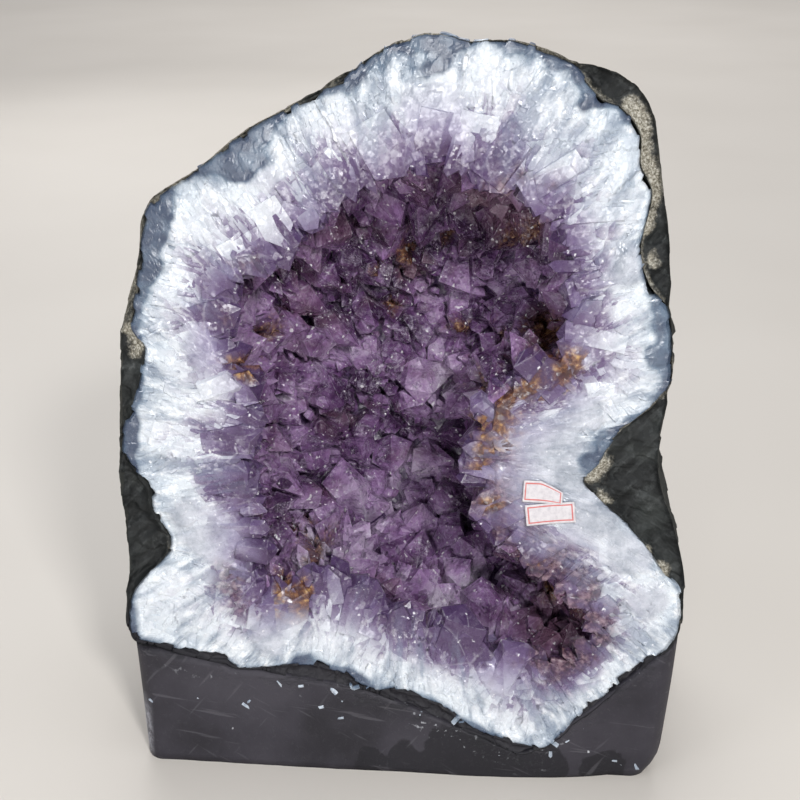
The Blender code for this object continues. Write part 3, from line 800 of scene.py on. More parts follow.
def wall_place(angle, t):
    """The wall's point at an angle and a share t of the way to the back."""
    reach, calm_reach = at_turn(WALL_REACH, angle), at_turn(calmed(WALL_REACH, WALL_CALM), angle)
    return sunk(*bowl_profile(reach, calm_reach, WALL_DEPTH, WALL_BLUNTNESS, t), angle)


def strewn_on_wall(count, spacing):
    """Evenly strewn places on the wall with the ways into the hollow, from cross products of its slopes."""
    nearest = 3.6 * spacing
    angle, t = draw.uniform(0, FULL_TURN, count), np.maximum(draw.uniform(-0.03, 0.995, count), nearest)
    places = wall_place(angle, t)
    order = spaced(places, spacing)
    angle, t, places = angle[order], t[order], places[order]
    around = wall_place(angle + 0.05, t) - wall_place(angle - 0.05, t)
    back = wall_place(angle, np.minimum(t + 0.03, 1.0)) - wall_place(angle, np.maximum(t - 0.03, 0.0))
    inward = unit(np.cross(around, back))
    to_middle = np.array([0.0, 0.02, MIDDLE_Z]) - places
    return places, inward * np.sign((inward * to_middle).sum(-1, keepdims=True))


def wall_crystals(name, count, spacing, radii, lengths, wobble, stands_for=None):
    """Crystals rooted 3 mm inside the wall. Those that would stand out at the face are dropped."""
    places, inward = strewn_on_wall(count, spacing)
    n = len(places)
    axes = unit(inward + draw.normal(0, wobble, (n, 3)))
    radius, length = draw.uniform(*radii, n), ROOTED + draw.uniform(*lengths, n)
    points = crystals(places - ROOTED * axes, axes, radius, length, draw)
    depth = points[..., 1]
    inside = ((share_at(points) > 0.90) | (depth > 0.006)).all(axis=1) & (depth > 0.0005).all(axis=1)
    own = draw.uniform(0, 1, inside.sum())
    add_crystals(name, points[inside], own, stands_for, lift=0.12)


draw = np.random.default_rng(23)
wall_crystals("amethyst_large", 3000, 0.0155, (0.0080, 0.0145), (0.012, 0.023), 0.26, "amethyst_crust")
wall_crystals("amethyst_medium", 6000, 0.0088, (0.0040, 0.0080), (0.008, 0.0180), 0.36)
wall_crystals("amethyst_small", 12000, 0.0054, (0.0017, 0.0036), (0.006, 0.0130), 0.50)

# %% [markdown]
# The foot is cast cement: a plain block with rounded corners, poured round the stone, so its top follows the
# rock. It is a profile carried along x. At each x the profile runs up the front, back along the top or along
# the rock's underside where that is lower, down the back and home along the table.

# %% Cement foot
FOOT_DEPTH, FOOT_HALF_WIDTH, FOOT_COLUMNS = 0.134, 0.1195, 190
BACK_SLOPE, SEAT_GAP = 0.014, 0.0008


def underside(x, depth):
    """Height of the rock's lower side above the table at x, for one depth."""
    t = np.arcsin(np.clip(depth / ROCK_DEPTH, 0, 1) ** (OUTER_BLUNTNESS / 2)) * 2 / math.pi
    angles = np.linspace(math.pi, FULL_TURN, 400)
    radius, _ = rock_skin(angles, np.array([[t]]))
    ring = sunk(radius[0], np.zeros(400), angles)
    return np.interp(x, np.maximum.accumulate(ring[:, 0]) + np.arange(400) * 1e-9, ring[:, 2])


# A table of the underside: a column for each millimetre along x, and a row for each 2.5 mm of depth
SEAT_X, SEAT_DEPTHS = np.linspace(-0.125, 0.125, 251), np.linspace(0, 0.140, 57)
SEAT_HEIGHTS = np.array([underside(SEAT_X, depth) for depth in SEAT_DEPTHS])


def top_height(x, y):
    """Height of the foot's top: the block's own, or the rock's underside where it is lower.

    The block's top is higher at the right, lower towards the back and a little wavy.
    """
    row = np.clip(y / SEAT_DEPTHS[1], 0, len(SEAT_DEPTHS) - 1.001)
    column = np.clip((x - SEAT_X[0]) / MM, 0, len(SEAT_X) - 1.001)
    block = 0.0635 + 0.055 * x - 0.10 * y + 0.002 * np.sin(70 * x + 40 * y)
    return np.minimum(block, mixture(SEAT_HEIGHTS, row, column) + SEAT_GAP)


def corner_gap(x, radius):
    """How far the block draws in near its rounded corners: quarter circles of that radius."""
    share = np.clip((np.abs(x) - (FOOT_HALF_WIDTH - radius)) / radius, 0, 1)
    return radius * (1 - np.sqrt(1 - share**2))


def cut_back(x, z):
    """How far the front slopes back towards its lower right end, by up to 6 mm."""
    return 0.006 * np.clip(x / 0.1, 0, 1) ** 4 * np.clip(1 - z / 0.05, 0, 1)


def foot_profiles():
    """The profile at each x: front, top, back and base in turn. Near the ends the profiles lie closer."""
    across = np.linspace(-1, 1, FOOT_COLUMNS)
    across = (np.sign(across) * (1 - (1 - np.abs(across)) ** 1.25))[:, None]
    x = across * FOOT_HALF_WIDTH
    up, along = np.linspace(0, 1, 16), np.linspace(0, 1, 44)[1:-1]
    front, back = corner_gap(x, 0.009), FOOT_DEPTH - corner_gap(x, 0.030)
    front_z = top_height(x, 0 * x) * up
    top_y = front + (back - BACK_SLOPE - front) * along
    back_z = top_height(x, back - BACK_SLOPE) * up[::-1]
    base_front = front + cut_back(x, 0)
    y = [front + cut_back(x, front_z), top_y, back - BACK_SLOPE * np.clip(back_z / 0.07, 0, 1)]
    y = np.concatenate([*y, base_front + (back - base_front) * along[::-1]], axis=1)
    z = np.concatenate([front_z, top_height(x + 0 * top_y, top_y), back_z, 0 * top_y], axis=1)
    worn = 0.005 * np.clip(1 - z / 0.014, 0, 1) ** 2
    end = np.where(x < 0, -0.1190 - 0.0045 * z / 0.07, 0.1150 + 0.0040 * z / 0.07 - worn)
    return np.stack([np.abs(across) * end, y, z], axis=-1)


def close_block(profiles):
    """Ends closed by drawing the first and the last profile together towards their middles."""
    shrink = np.append(np.linspace(0.04, 0.92, 9), [0.975, 0.995])[:, None, None]
    first, last = profiles[0], profiles[-1]
    first_middle, last_middle = first.mean(0), last.mean(0)
    left = first_middle + (first - first_middle) * shrink
    right = last_middle + (last - last_middle) * shrink[::-1]
    return closed_rings(np.concatenate([left, profiles, right]), first_middle, last_middle)


def cement_block():
    """The closed block, with the numbers that its finish reads in its front."""
    points, faces = close_block(foot_profiles())
    points[:, 1] += 0.0003 * layered_noise(points, 0.03, 4, 51)
    x, y, z = points.T
    in_front = y < 0.02
    near_stone = np.clip(1 - np.abs(z - top_height(x, 0 * x)) / 0.012, 0, 1)
    scuffed = np.clip(1 - (x + 0.1185) / 0.004, 0, 1) * np.clip(1.6 - z / 0.02, 0, 1)
    marks = {"near_stone": near_stone, "scuffed": scuffed, "damp": spots_at(DAMP_SPOTS, points)}
    marks = {key: numbers * in_front for key, numbers in marks.items()}
    add_piece("cement_block", points, faces, "cement_foot", marks, soft=True)


cement_block()

# %% [markdown]
# White chips of quartz fell into the wet cement and stayed. Each is one of the same crystals, set to half its
# depth in the front of the foot.

# %% Quartz chips in the foot
# Place in the foot's front and radius, in millimetres
CHIPS_MM = [
    (-73, 31, 1.8), (-69, 33, 0.9), (-30, 38, 1.8), (-28, 34, 0.9), (22, 26, 1.7), (27, 27, 0.9),
    (-116, 30, 0.9), (-1, 14, 0.8), (69, 17, 1.9), (66, 14, 1.4), (96, 8, 1.0), (104, 7, 1.3), (99, 5, 0.9),
    (-52, 24, 0.7), (8, 31, 0.8), (80, 26, 0.7), (-94, 32, 1.2), (44, 11, 0.6), (-27, 26, 1.1),
    (-36, 31, 1.0), (-57, 43, 1.3), (-45, 41, 1.2), (-24, 43, 1.0), (-20, 42, 1.3), (-17, 41, 0.8),
    (-52, 14, 0.7), (60, 20, 0.9), (74, 20, 0.9),
]


def quartz_chips():
    """Crystals rooted just inside the foot's front, each turned its own way along it."""
    x, z, radius = np.array(CHIPS_MM, float).T * MM
    roots = np.stack([x, 0.0007 + cut_back(x, z), z], axis=-1)
    ways = draw.normal(0, 1, (len(x), 3)) * np.array([1, 0.12, 0.6])
    points = crystals(roots, ways, radius * 0.9, radius * 2.9, draw)
    add_crystals("quartz_chips", points, draw.uniform(0, 1, len(x)))


quartz_chips()

# %% [markdown]
# Two paper tags are stuck on the right lobe. Paper never lies quite flat on broken stone, so each is a fine
# grid that bows by a fraction of a millimetre, and the upper one has lost a corner. Solidify gives it its
# thickness. Its two map directions run along the edges, so the printed frame can follow them.

# %% Paper tags
TAG_COLUMNS, TAG_ROWS = 41, 21


def paper_tag(name, corner, width, height, turn, lost, stands_for):
    """A bowed sheet: u and v run along its edges, and its top edge drops towards the right by lost."""
    u, v = np.meshgrid(np.linspace(0, 1, TAG_COLUMNS), np.linspace(0, 1, TAG_ROWS), indexing="ij")
    top = 1 - lost * np.clip((u - 0.42) / 0.58, 0, 1) ** 1.2
    a, b = u * width, v * height * top
    x = corner[0] + a * math.cos(turn) - b * math.sin(turn)
    z = corner[1] + a * math.sin(turn) + b * math.cos(turn)
    flat = np.stack([x, 0 * x, z], axis=-1)
    bow = 0.0004 + 0.0004 * (2 * u - 1) ** 2 + 0.0002 * smooth_noise(flat, 0.006, 3)
    points = np.stack([x, -bow, z], axis=-1).reshape(-1, 3)
    here = (np.arange(TAG_COLUMNS - 1)[:, None] * TAG_ROWS + np.arange(TAG_ROWS - 1)).reshape(-1)
    after = here + TAG_ROWS
    halves = (here, after, after + 1), (here, after + 1, here + 1)
    faces = np.concatenate([np.stack(half, -1) for half in halves])
    mesh = bpy.data.meshes.new(name)
    mesh.from_pydata(leaned(points).tolist(), [], faces.tolist())
    layer = mesh.uv_layers.new(name="edges")
    corners = np.stack([u.reshape(-1), v.reshape(-1)], -1)[faces.reshape(-1)]
    layer.data.foreach_set("uv", corners.astype(np.float32).ravel())
    mesh.shade_smooth()
    thick = hang(name, mesh, stands_for).modifiers.new("thickness", "SOLIDIFY")
    thick.thickness = 0.0002
    thick.offset = 0


paper_tag("paper_tag_upper", (0.0488, 0.1330), 0.0166, 0.0096, math.radians(-2), 0.45, "price_tag_upper")
paper_tag("paper_tag_lower", (TAG_LEFT, 0.1223), 0.0207, 0.0092, TAG_TURN, 0.0, "price_tag_lower")

# %% [markdown]
# Finishes are node trees, and a tree of sums is hard to read. So one small class wraps a socket and turns
# Python's operators into Math nodes, and a Finish makes every other node with a single call.

# %% Shader sums as Python


class Value:
    """One output of a node. Sums on it add Math nodes to its finish."""

    def __init__(self, finish, socket):
        self.finish = finish
        self.socket = socket

    def sum(self, operation, first, second=0.0, clamp=False):
        return self.finish.node("Math", {"operation": operation, "use_clamp": clamp}, {0: first, 1: second})

    def __add__(self, other):
        return self.sum("ADD", self, other)

    def __sub__(self, other):
        return self.sum("SUBTRACT", self, other)

    def __rsub__(self, other):
        return self.sum("SUBTRACT", other, self)

    def __mul__(self, other):
        return self.sum("MULTIPLY", self, other)

    def __truediv__(self, other):
        return self.sum("DIVIDE", self, other)

    __radd__ = __add__
    __rmul__ = __mul__

    def clamped(self):
        """Kept between 0 and 1."""
        return self.sum("ADD", self, 0.0, clamp=True)

    def above(self, limit, slope):
        """0 up to the limit, then rising by the slope to 1. With a slope below 0 it is so under the limit."""
        return ((self - limit) * slope).clamped()

    def larger(self, other):
        return self.sum("MAXIMUM", self, other)


class Finish:
    """A material and its Principled shader."""

    def __init__(self, name):
        self.material = bpy.data.materials.new(name)
        self.material.use_nodes = True
        self.tree = self.material.node_tree
        self.shader = self.tree.nodes["Principled BSDF"]
        self.place = self.node("TexCoord", output="Object")

    def node(self, kind, settings=None, inputs=None, output=0):
        """A node of that kind: its settings first, then the values or links of its sockets."""
        made = self.tree.nodes.new("ShaderNode" + kind)
        for key, value in (settings or {}).items():
            if key == "stops":
                self.set_stops(made.color_ramp, value)
            else:
                setattr(made, key, value)
        self.feed(made, inputs or {})
        return Value(self, made.outputs[output])

    def feed(self, node, inputs):
        for key, value in inputs.items():
            if isinstance(value, Value):
                self.tree.links.new(value.socket, node.inputs[key])
            else:
                node.inputs[key].default_value = value

    def set_stops(self, ramp, stops):
        while len(ramp.elements) < len(stops):
            ramp.elements.new(1.0)
        for element, (position, colour) in zip(ramp.elements, stops):
            element.position = position
            element.color = (*colour, 1)

    def stored(self, name):
        """A number that the mesh holds for each point."""
        return self.node("Attribute", {"attribute_name": name}, output="Fac")

    def noise(self, size, detail=4.0, roughness=0.55, place=None, output=0):
        """Noise whose largest features are about that many metres."""
        inputs = {"Vector": place or self.place, "Scale": 1 / size, "Detail": detail, "Roughness": roughness}
        return self.node("TexNoise", None, inputs, output)

    def ramp(self, value, stops):
        return self.node("ValToRGB", {"stops": stops}, {"Fac": value}, "Color")

    def blend(self, share, first, second):
        """Colours mixed by a share from 0 to 1."""
        first, second = ((*c, 1) if isinstance(c, tuple) else c for c in (first, second))
        return self.node("Mix", {"data_type": "RGBA"}, {0: share, 6: first, 7: second}, output=2)

    def vector(self, operation, first, second=(0.0, 0.0, 0.0), scale=1.0):
        inputs = {0: first, 1: second}
        if operation == "SCALE":
            inputs = {0: first, "Scale": scale}
        return self.node("VectorMath", {"operation": operation}, inputs)

    def map_pair(self, name):
        """The two numbers of a map that the mesh holds."""
        pair = self.node("UVMap", {"uv_map": name})
        return (self.node("SeparateXYZ", None, {0: pair}, axis) for axis in "XY")

    def facet_edge_highlights(self, ragged):
        """1 along the edges between a crystal's faces, which the finishes paint pale as a highlight. On the
        tip, u is measured against the width left.
        """
        u, v = self.map_pair("facet")
        side = u.sum("ABSOLUTE", u) / (1.001 - v.larger(0.0))
        shoulder = 1 - v.sum("ABSOLUTE", v)
        edge = side.above(0.90, 11.0).larger(shoulder.above(0.95, 20.0) * (side * 20.0).clamped())
        return edge * ragged.above(0.46, 5.0)

    def glitter(self, sizes, strength, normal=None):
        """A normal, turned a little in each cell of a fine cell pattern, as on broken crystal."""
        normal = normal or self.node("NewGeometry", output="Normal")
        for size, share in sizes:
            cells = self.node("TexVoronoi", None, {"Vector": self.place, "Scale": 1 / size}, "Color")
            turned = self.vector("SUBTRACT", cells, (0.5, 0.5, 0.5))
            normal = self.vector("ADD", normal, self.vector("SCALE", turned, scale=share * strength))
        return self.vector("NORMALIZE", normal)

    def bump(self, height, distance, strength=1.0, normal=None):
        inputs = {"Height": height, "Distance": distance, "Strength": strength}
        if normal:
            inputs["Normal"] = normal
        return self.node("Bump", None, inputs)

    def set(self, **inputs):
        """Feeds the Principled shader. Underscores in a name stand for spaces."""
        self.feed(self.shader, {key.replace("_", " "): value for key, value in inputs.items()})

    def onto(self, *names):
        """Puts the finish on pieces."""
        for name in names:
            made_pieces[name].data.materials.append(self.material)
        print(f"{self.material.name}: {len(self.tree.nodes)} nodes, on {', '.join(names)}")


# %% [markdown]
# Quartz. Its colour depends on the share from edge to hollow: icy white, then greyish lilac, then purple
# at the tips. Streaks of white and of clearer grey run from edge to hollow, on coordinates that fan out
# from the middle, and fine white lines part the columns. Agate is slate-blue and smooth, deepest at the
# very edge.

# %% Quartz finish


def quartz_finish():
    quartz = Finish("quartz")
    share, own, agate, milky, rust, plum, tone = (
        quartz.stored(key) for key in ("share", "own", "agate", "cloud", "rust", "plum", "tone")
    )
    fan = quartz.node("Attribute", {"attribute_name": "fan"}, output="Vector")
    cloud = quartz.noise(0.016, 5, 0.6)
    fine = quartz.noise(0.003, 4, 0.6)
    wander = quartz.vector("SCALE", quartz.noise(0.010, 2, output="Color"), scale=0.002)
    bent = quartz.vector("ADD", fan, wander)
    long_fan = quartz.vector("MULTIPLY", bent, (1.0, 1.0, 0.22))
    streaks = quartz.noise(0.0034, 5, 0.62, long_fan)
    broad_streaks = quartz.noise(0.0110, 3, 0.5, long_fan)
    cells = {"Vector": quartz.vector("MULTIPLY", bent, (1.0, 1.0, 0.55)), "Scale": 1 / 0.0125}
    to_line = quartz.node("TexVoronoi", {"feature": "DISTANCE_TO_EDGE"}, cells)
    column = quartz.node("SeparateXYZ", None, {0: quartz.node("TexVoronoi", None, cells, "Color")})

    along = share * 0.88 + 0.45 * (own - 0.5) * share + 0.22 * (cloud - 0.5) + 0.24 * (column - 0.5)
    colour = quartz.ramp(along.clamped(), [
        (0.00, (0.52, 0.58, 0.65)), (0.10, (0.70, 0.75, 0.80)), (0.34, (0.72, 0.75, 0.80)),
        (0.46, (0.50, 0.50, 0.58)), (0.56, (0.26, 0.23, 0.33)), (0.70, (0.140, 0.095, 0.195)),
        (0.88, (0.070, 0.038, 0.098)),
    ])
    outer = (1.15 - share).clamped()
    grey = ((0.50 - streaks) * 5.0 + (0.51 - broad_streaks) * 6.0).clamped() * outer
    colour = quartz.blend(grey * 0.85, colour, (0.22, 0.27, 0.35))
    white = ((streaks - 0.54) * 7.0 + (fine - 0.55) * 3.0).clamped() * outer
    colour = quartz.blend(white * 0.8, colour, (0.93, 0.94, 0.96))
    swirl = ((quartz.noise(0.013, 6, 0.68) - 0.5) * 4.0 + 0.5).clamped()
    milk = quartz.blend(swirl, (0.21, 0.24, 0.30), (0.60, 0.62, 0.69))
    milk = quartz.blend((share * 1.6 - 0.6).clamped(), milk, (0.34, 0.28, 0.46))
    colour = quartz.blend((milky * 1.2 - 0.6 * cloud + 0.1).clamped() * 0.8, colour, milk)
    # Painted shade: single facets are painted darker at random, as if they faced away from the light.
    facet_shade_colour = quartz.blend(share.clamped(), (0.24, 0.29, 0.37), (0.15, 0.09, 0.25))
    colour = quartz.blend(tone * 0.22, colour, facet_shade_colour)
    # The lines that part the columns are the quartz's own; the pale facet edges are a painted highlight,
    # partly worn edges.
    lines = ((0.030 - to_line) * 50.0).clamped() * share.above(0.25, 4.0) * cloud.above(0.47, 8.0)
    worn = quartz.facet_edge_highlights(fine).larger(lines * 0.35)
    colour = quartz.blend(worn * 0.45, colour, (0.80, 0.79, 0.86))
    specks_and_glints = quartz.noise(0.0026, 2, 0.5).above(0.69, 14.0)
    colour = quartz.blend(specks_and_glints * 0.8, colour, (0.90, 0.90, 0.93))

    deep = (agate * 1.5 - 0.8 * (streaks - 0.42) * (1.6 - agate)).clamped() * (agate * 5.0).clamped()
    bands = quartz.noise(0.0090, 3, 0.5)
    agate_colour = quartz.ramp((deep * 0.85 + 1.7 * (bands - 0.5)).clamped(), [
        (0.10, (0.30, 0.37, 0.45)), (0.50, (0.12, 0.170, 0.240)), (0.95, (0.035, 0.055, 0.105)),
    ])
    colour = quartz.blend((deep * 1.3).clamped() * 0.95, colour, agate_colour)
    plum_colour = quartz.ramp(fine, [
        (0.38, (0.026, 0.010, 0.018)), (0.52, (0.11, 0.050, 0.062)), (0.68, (0.36, 0.24, 0.26)),
    ])
    inner = (share * 3.0 - 1.4).clamped()
    plum_share = (plum * 1.2 + 4.0 * (swirl * 0.25 + cloud - 0.76)).clamped() * inner
    colour = quartz.blend(plum_share * 0.7, colour, plum_colour)
    rust_colour = quartz.ramp(fine, [
        (0.42, (0.06, 0.020, 0.010)), (0.58, (0.20, 0.08, 0.02)), (0.68, (0.55, 0.33, 0.10)),
    ])
    rusty = (rust * 1.6 - 1.2 * (0.55 - fine).clamped()).clamped() * inner
    colour = quartz.blend(rusty * 0.85, colour, rust_colour)

    calm = 1 - deep.larger(milky * 0.6)
    height = (streaks * 0.5 + fine * 0.25 - lines * 0.3) * calm
    quartz.set(
        Base_Color=colour,
        Roughness=(0.14 + 0.26 * fine).clamped(),
        Normal=quartz.bump(height, 0.0006, 0.6, quartz.glitter([(0.0050, 0.20), (0.0016, 0.24)], calm)),
        IOR=1.544,
        Transmission_Weight=0.08,
    )
    quartz.onto("quartz_wall", "quartz_columns", "mouth_points", "quartz_chips")


quartz_finish()

# %% [markdown]
# Amethyst is clear quartz with a violet tint, so it passes light: plain transmission and quartz's index of
# refraction, with absorption that takes most from green. Milky flaws inside scatter some of the light, and
# that share is an ordinary colour, pale at the root and deep at the tip.

# %% Amethyst finish


def amethyst_finish():
    amethyst = Finish("amethyst")
    share, growth, own, rust, plum, light, tone = (
        amethyst.stored(key) for key in ("share", "growth", "own", "rust", "plum", "light", "tone")
    )
    cloud = amethyst.noise(0.010, 4, 0.6)
    fine = amethyst.noise(0.0022, 3, 0.6)
    zones = amethyst.noise(0.022, 3, 0.55)
    # Each facet's own random number paints it darker, a painted shade.
    along = 0.20 * growth + 0.35 * own + 0.24 * tone + 0.8 * (cloud - 0.5) + 1.4 * (zones - 0.5)
    # Painted light and shade: where light is high the crystals are painted paler, where it is low darker.
    along = (along + (share - 0.90) * 0.35 + 0.60 * (0.5 - light)).clamped()
    colour = amethyst.ramp(along, [
        (0.00, (0.72, 0.62, 0.78)), (0.25, (0.56, 0.40, 0.63)), (0.50, (0.38, 0.215, 0.45)),
        (0.75, (0.18, 0.080, 0.22)), (1.00, (0.055, 0.018, 0.070)),
    ])
    veils = amethyst.noise(0.0040, 8, 0.85).above(0.50, 6.0)
    # The milky veils are the crystal's own; they are painted brighter where light is high, a painted light.
    colour = amethyst.blend(veils * (0.25 + 0.55 * light), colour, (0.76, 0.68, 0.84))
    dark_veils = amethyst.noise(0.0034, 6, 0.75).above(0.47, -8.0)
    colour = amethyst.blend(dark_veils * 0.7, colour, (0.08, 0.035, 0.12))
    plum_patches = amethyst.noise(0.020, 2, 0.5).above(0.52, 5.0) * 0.5
    plum_colour = amethyst.blend(fine, (0.10, 0.035, 0.07), (0.26, 0.14, 0.19))
    colour = amethyst.blend(plum_patches.larger(plum * 0.8), colour, plum_colour)
    # Pale facet edges: a painted highlight, partly worn edges.
    colour = amethyst.blend(amethyst.facet_edge_highlights(fine) * 0.5, colour, (0.76, 0.70, 0.84))
    rust_colour = amethyst.ramp(fine, [
        (0.42, (0.07, 0.025, 0.012)), (0.58, (0.22, 0.09, 0.03)), (0.70, (0.60, 0.38, 0.14)),
    ])
    rusty = (rust * 1.6 - 1.5 * (0.55 - fine).clamped()).clamped()
    colour = amethyst.blend(rusty * 0.8, colour, rust_colour)
    # Small white specks on the amethyst are painted glints.
    specks_and_glints = amethyst.noise(0.0024, 1, 0.5).above(0.68, 18.0)
    colour = amethyst.blend(specks_and_glints * 0.9, colour, (0.95, 0.92, 0.96))

    wavy = amethyst.noise(0.0030, 4, 0.6) + 0.5 * amethyst.noise(0.0012, 2, 0.5)
    sparkling = amethyst.noise(0.009, 2, 0.5).above(0.52, 8.0)
    turned = amethyst.glitter([(0.006, 0.16), (0.0016, 0.20), (0.0007, 0.20)], 1.0)
    turned = amethyst.glitter([(0.0013, 1.1)], sparkling, turned)
    amethyst.set(
        Base_Color=colour,
        Roughness=(0.03 + 0.16 * fine).clamped(),
        Normal=amethyst.bump(wavy, 0.0016, 0.7, turned),
        IOR=1.544,
        Transmission_Weight=0.30,
    )
    tint = amethyst.node("VolumeAbsorption", None, {"Color": (0.66, 0.40, 0.76, 1), "Density": 15.0})
    amethyst.tree.links.new(tint.socket, amethyst.tree.nodes["Material Output"].inputs["Volume"])
    amethyst.onto("amethyst_large", "amethyst_medium", "amethyst_small")


amethyst_finish()

# %% [markdown]
# Rock: dull and nearly black, with a greenish cast, paler where the tool scraped it, and a cream grit
# along the seam with the quartz. Low down it is smeared with cement.

# %% Rock finish


def rock_finish():
    rock = Finish("rock")
    seam, sawn = rock.stored("seam"), rock.stored("sawn")
    broad = rock.noise(0.030, 6, 0.6)
    grain = rock.noise(0.0016, 5, 0.7)
    crust = rock.ramp(broad, [
        (0.34, (0.012, 0.012, 0.011)), (0.50, (0.030, 0.032, 0.029)), (0.66, (0.062, 0.060, 0.052)),
    ])
    dusty = rock.noise(0.012, 6, 0.7).above(0.55, 6.0)
    crust = rock.blend(dusty * 0.5, crust, (0.115, 0.108, 0.095))
    crust = rock.blend(grain.above(0.58, 6.0) * 0.5, crust, (0.16, 0.155, 0.14))
    chalky = rock.noise(0.0055, 5, 0.7).above(0.60, 9.0) * (dusty + 0.25).clamped()
    crust = rock.blend(chalky * 0.6, crust, (0.22, 0.215, 0.195))

    face = rock.ramp(broad, [
        (0.36, (0.003, 0.004, 0.0045)), (0.52, (0.011, 0.0125, 0.013)), (0.64, (0.028, 0.032, 0.031)),
    ])
    mottled = rock.noise(0.0065, 6, 0.72).above(0.54, 9.0)
    face = rock.blend(mottled * 0.55, face, (0.060, 0.066, 0.066))
    colour = rock.blend(sawn, crust, face)
    stretch = {"Vector": rock.place, "Rotation": (0, math.radians(40), 0), "Scale": (1, 1, 7)}
    scrapes = rock.noise(0.0030, 4, 0.6, rock.node("Mapping", {"vector_type": "TEXTURE"}, stretch))
    scraped = scrapes.above(0.54, 9.0) * sawn * mottled.larger(0.35)
    colour = rock.blend(scraped * 0.45, colour, (0.13, 0.14, 0.14))
    grit = rock.ramp(rock.noise(0.0010, 3, 0.7), [
        (0.36, (0.085, 0.075, 0.055)), (0.50, (0.27, 0.25, 0.20)), (0.64, (0.54, 0.52, 0.46)),
    ])
    gritty = (seam * 1.7 + 2.4 * (grain - 0.62)).clamped() * (seam * 4.0).clamped()
    colour = rock.blend(gritty, colour, grit)
    low = rock.node("SeparateXYZ", None, {0: rock.place}, "Z")
    smeared = ((0.078 - low) * 60.0 + 1.2 * (broad - 0.5)).clamped()
    colour = rock.blend(smeared * 0.9, colour, (0.024, 0.0225, 0.028))
    rock.set(
        Base_Color=colour,
        Roughness=(0.68 + 0.35 * grain - 0.30 * sawn).clamped(),
        Normal=rock.bump(broad * 0.5 + grain * 0.35 + scrapes * 0.4, 0.0014, 0.9),
        Specular_IOR_Level=0.30,
    )
    rock.onto("host_rock")


rock_finish()

# %% [markdown]
# Cement: charcoal with a faint purple cast, smooth from the mould, with hairline scratches, a scuffed corner,
# rough and dark streaks and white quartz dust just below the stone, and darker places that are damp.

# %% Cement finish


def cement_finish():
    cement = Finish("cement")
    near_stone = cement.stored("near_stone")
    broad = cement.noise(0.05, 5, 0.55)
    grain = cement.noise(0.0012, 4, 0.6)
    colour = cement.ramp(broad, [
        (0.36, (0.017, 0.0156, 0.0205)), (0.50, (0.031, 0.0285, 0.037)), (0.64, (0.045, 0.0415, 0.052)),
    ])
    damp = cement.stored("damp") + 0.5 * (cement.noise(0.009, 5, 0.65) - 0.5)
    damp = (damp * 5.0 - 1.2).clamped()
    colour = cement.blend(damp * 0.80, colour, (0.010, 0.0095, 0.013))
    streaked = cement.noise(0.0040, 6, 0.72, cement.vector("MULTIPLY", cement.place, (0.30, 1.0, 1.0)))
    dark_streaks = streaked.above(0.53, 8.0) * near_stone
    colour = cement.blend(dark_streaks * 0.65, colour, (0.010, 0.011, 0.013))
    rough = cement.noise(0.0022, 6, 0.75).above(0.55, 8.0) * (near_stone * 0.7 + 0.22).clamped()
    colour = cement.blend(rough * 0.55, colour, (0.085, 0.084, 0.092))
    scratches = 0.0
    for turn, size in ((0.5, 0.0024), (-0.9, 0.0031), (0.12, 0.0020)):
        inputs = {"Vector": cement.place, "Rotation": (0, turn, 0), "Scale": (16, 1, 1)}
        lines = cement.noise(size, 1, 0.5, cement.node("Mapping", {"vector_type": "TEXTURE"}, inputs))
        scratches = lines.above(0.68, 14.0) + scratches
    colour = cement.blend(scratches.clamped() * 0.26, colour, (0.14, 0.135, 0.15))
    uneven = cement.noise(0.03, 2).above(0.50, 6.0)
    dust = cement.noise(0.0028, 3, 0.6).above(0.63, 12.0) * (near_stone * 1.2).clamped() * uneven
    specks = cement.noise(0.004, 2, 0.5).above(0.77, 20.0)
    colour = cement.blend(dust.larger(specks * 0.8), colour, (0.62, 0.64, 0.68))
    rubbed = (cement.stored("scuffed") * (cement.noise(0.004, 4, 0.7) * 7.0 - 2.2)).clamped()
    colour = cement.blend(rubbed * 0.8, colour, (0.36, 0.36, 0.40))
    cement.set(
        Base_Color=colour,
        Roughness=(0.42 + 0.25 * broad).clamped(),
        Normal=cement.bump(broad * 0.6 + grain * 0.12 + (rough - dark_streaks) * 0.25, 0.0010, 0.7),
        Specular_IOR_Level=0.28,
    )
    cement.onto("cement_block")


cement_finish()

# %% [markdown]
# Paper: white, slightly worn, with a thin red printed frame that runs a millimetre inside the edges. The
# frame comes from the tag's own map, where 0 and 1 are the edges, times the tag's sides in millimetres.

# %% Paper finish


def paper_finish():
    paper = Finish("paper")
    across, up = paper.map_pair("edges")
    near_side = across.sum("MINIMUM", across, 1 - across) * 19.0
    near_top = up.sum("MINIMUM", up, 1 - up) * 8.6
    near_edge = near_side.sum("MINIMUM", near_side, near_top)
    line = (1 - near_edge.sum("ABSOLUTE", near_edge - 1.1) / 0.34).clamped()
    worn = paper.noise(0.0018, 3, 0.6)
    white = paper.ramp(worn, [(0.30, (0.52, 0.49, 0.52)), (0.60, (0.66, 0.63, 0.65))])
    colour = paper.blend((line * 2.5).clamped() * 0.85, white, (0.55, 0.07, 0.06))
    paper.set(Base_Color=colour, Roughness=0.62, Normal=paper.bump(worn, 0.0001, 0.4))
    paper.onto("paper_tag_upper", "paper_tag_lower")


paper_finish()

# %% [markdown]
# The stage: a pale floor, a soft light from the upper right, a weaker one from the left, one from above,
# and one from the front that reaches into the hollow. Two more light the back of the stone and the floor
# behind it. The room is a dim grey, so that facets mirror dark as well as bright.

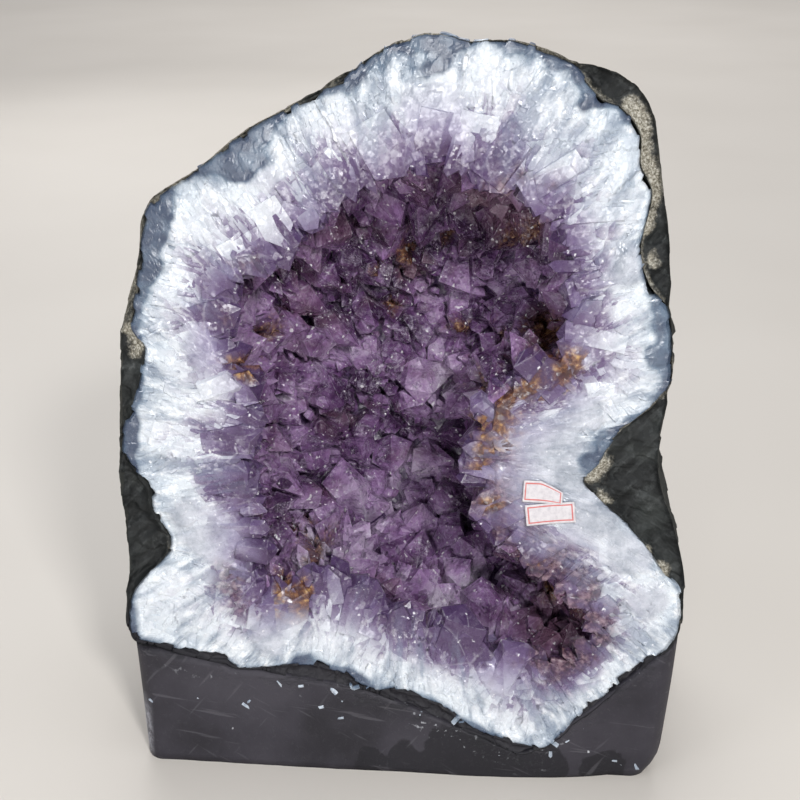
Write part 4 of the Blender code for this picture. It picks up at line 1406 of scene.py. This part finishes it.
# %% Floor, lights and camera
floor_mesh = bpy.data.meshes.new("floor")
floor_mesh.from_pydata([(-4, -3, 0), (4, -3, 0), (4, 6, 0), (-4, 6, 0)], [], [(0, 1, 2, 3)])
floor = bpy.data.objects.new("floor", floor_mesh)
bpy.context.scene.collection.objects.link(floor)
pale = Finish("pale_floor")
floor_colour = pale.ramp(pale.noise(0.4, 2), [(0.3, (0.62, 0.58, 0.53)), (0.7, (0.66, 0.62, 0.57))])
pale.set(Base_Color=floor_colour, Roughness=0.6)
floor_mesh.materials.append(pale.material)


def add_light(name, place, watts, size, colour=(1, 1, 1), aim=(0.0, -0.02, 0.16)):
    """A square lamp that faces the stone, or another place."""
    lamp = bpy.data.lights.new(name, "AREA")
    lamp.energy = watts
    lamp.size = size
    lamp.color = colour
    holder = bpy.data.objects.new(name, lamp)
    holder.location = place
    holder.rotation_euler = (Vector(aim) - Vector(place)).to_track_quat("-Z", "Y").to_euler()
    bpy.context.scene.collection.objects.link(holder)


add_light("key_light", (0.50, -1.10, 1.00), 12.6, 0.20)
add_light("fill_light", (-1.1, -0.9, 0.6), 4.0, 0.6, (0.94, 0.97, 1.0))
add_light("top_light", (0.1, 0.05, 1.3), 3.0, 0.5, (0.93, 0.96, 1.0))
add_light("front_light", (-0.10, -1.2, 0.30), 3.8, 0.20)
add_light("back_light", (-0.7, 1.3, 0.9), 5.0, 0.8)
add_light("far_light", (0.0, 2.6, 2.2), 45.0, 2.0, aim=(0.0, 2.6, 0.0))

world = bpy.data.worlds.new("room")
bpy.context.scene.world = world
world.use_nodes = True
world.node_tree.nodes["Background"].inputs["Color"].default_value = (0.33, 0.33, 0.34, 1)
world.node_tree.nodes["Background"].inputs["Strength"].default_value = 0.9
bpy.context.scene.view_settings.view_transform = "Standard"

camera_data = bpy.data.cameras.new("camera")
camera_data.lens = 56.25  # millimetres
camera_data.sensor_width = 36
camera = bpy.data.objects.new("camera", camera_data)
camera.location = (0.0355 + SHIFT_X, FACE_FOOT_Y - 0.448, 0.385)
look_at = Vector((-0.0031 + SHIFT_X, FACE_FOOT_Y + 0.0215, 0.1752))
camera.rotation_euler = (look_at - camera.location).to_track_quat("-Z", "Y").to_euler()
bpy.context.scene.collection.objects.link(camera)
bpy.context.scene.camera = camera
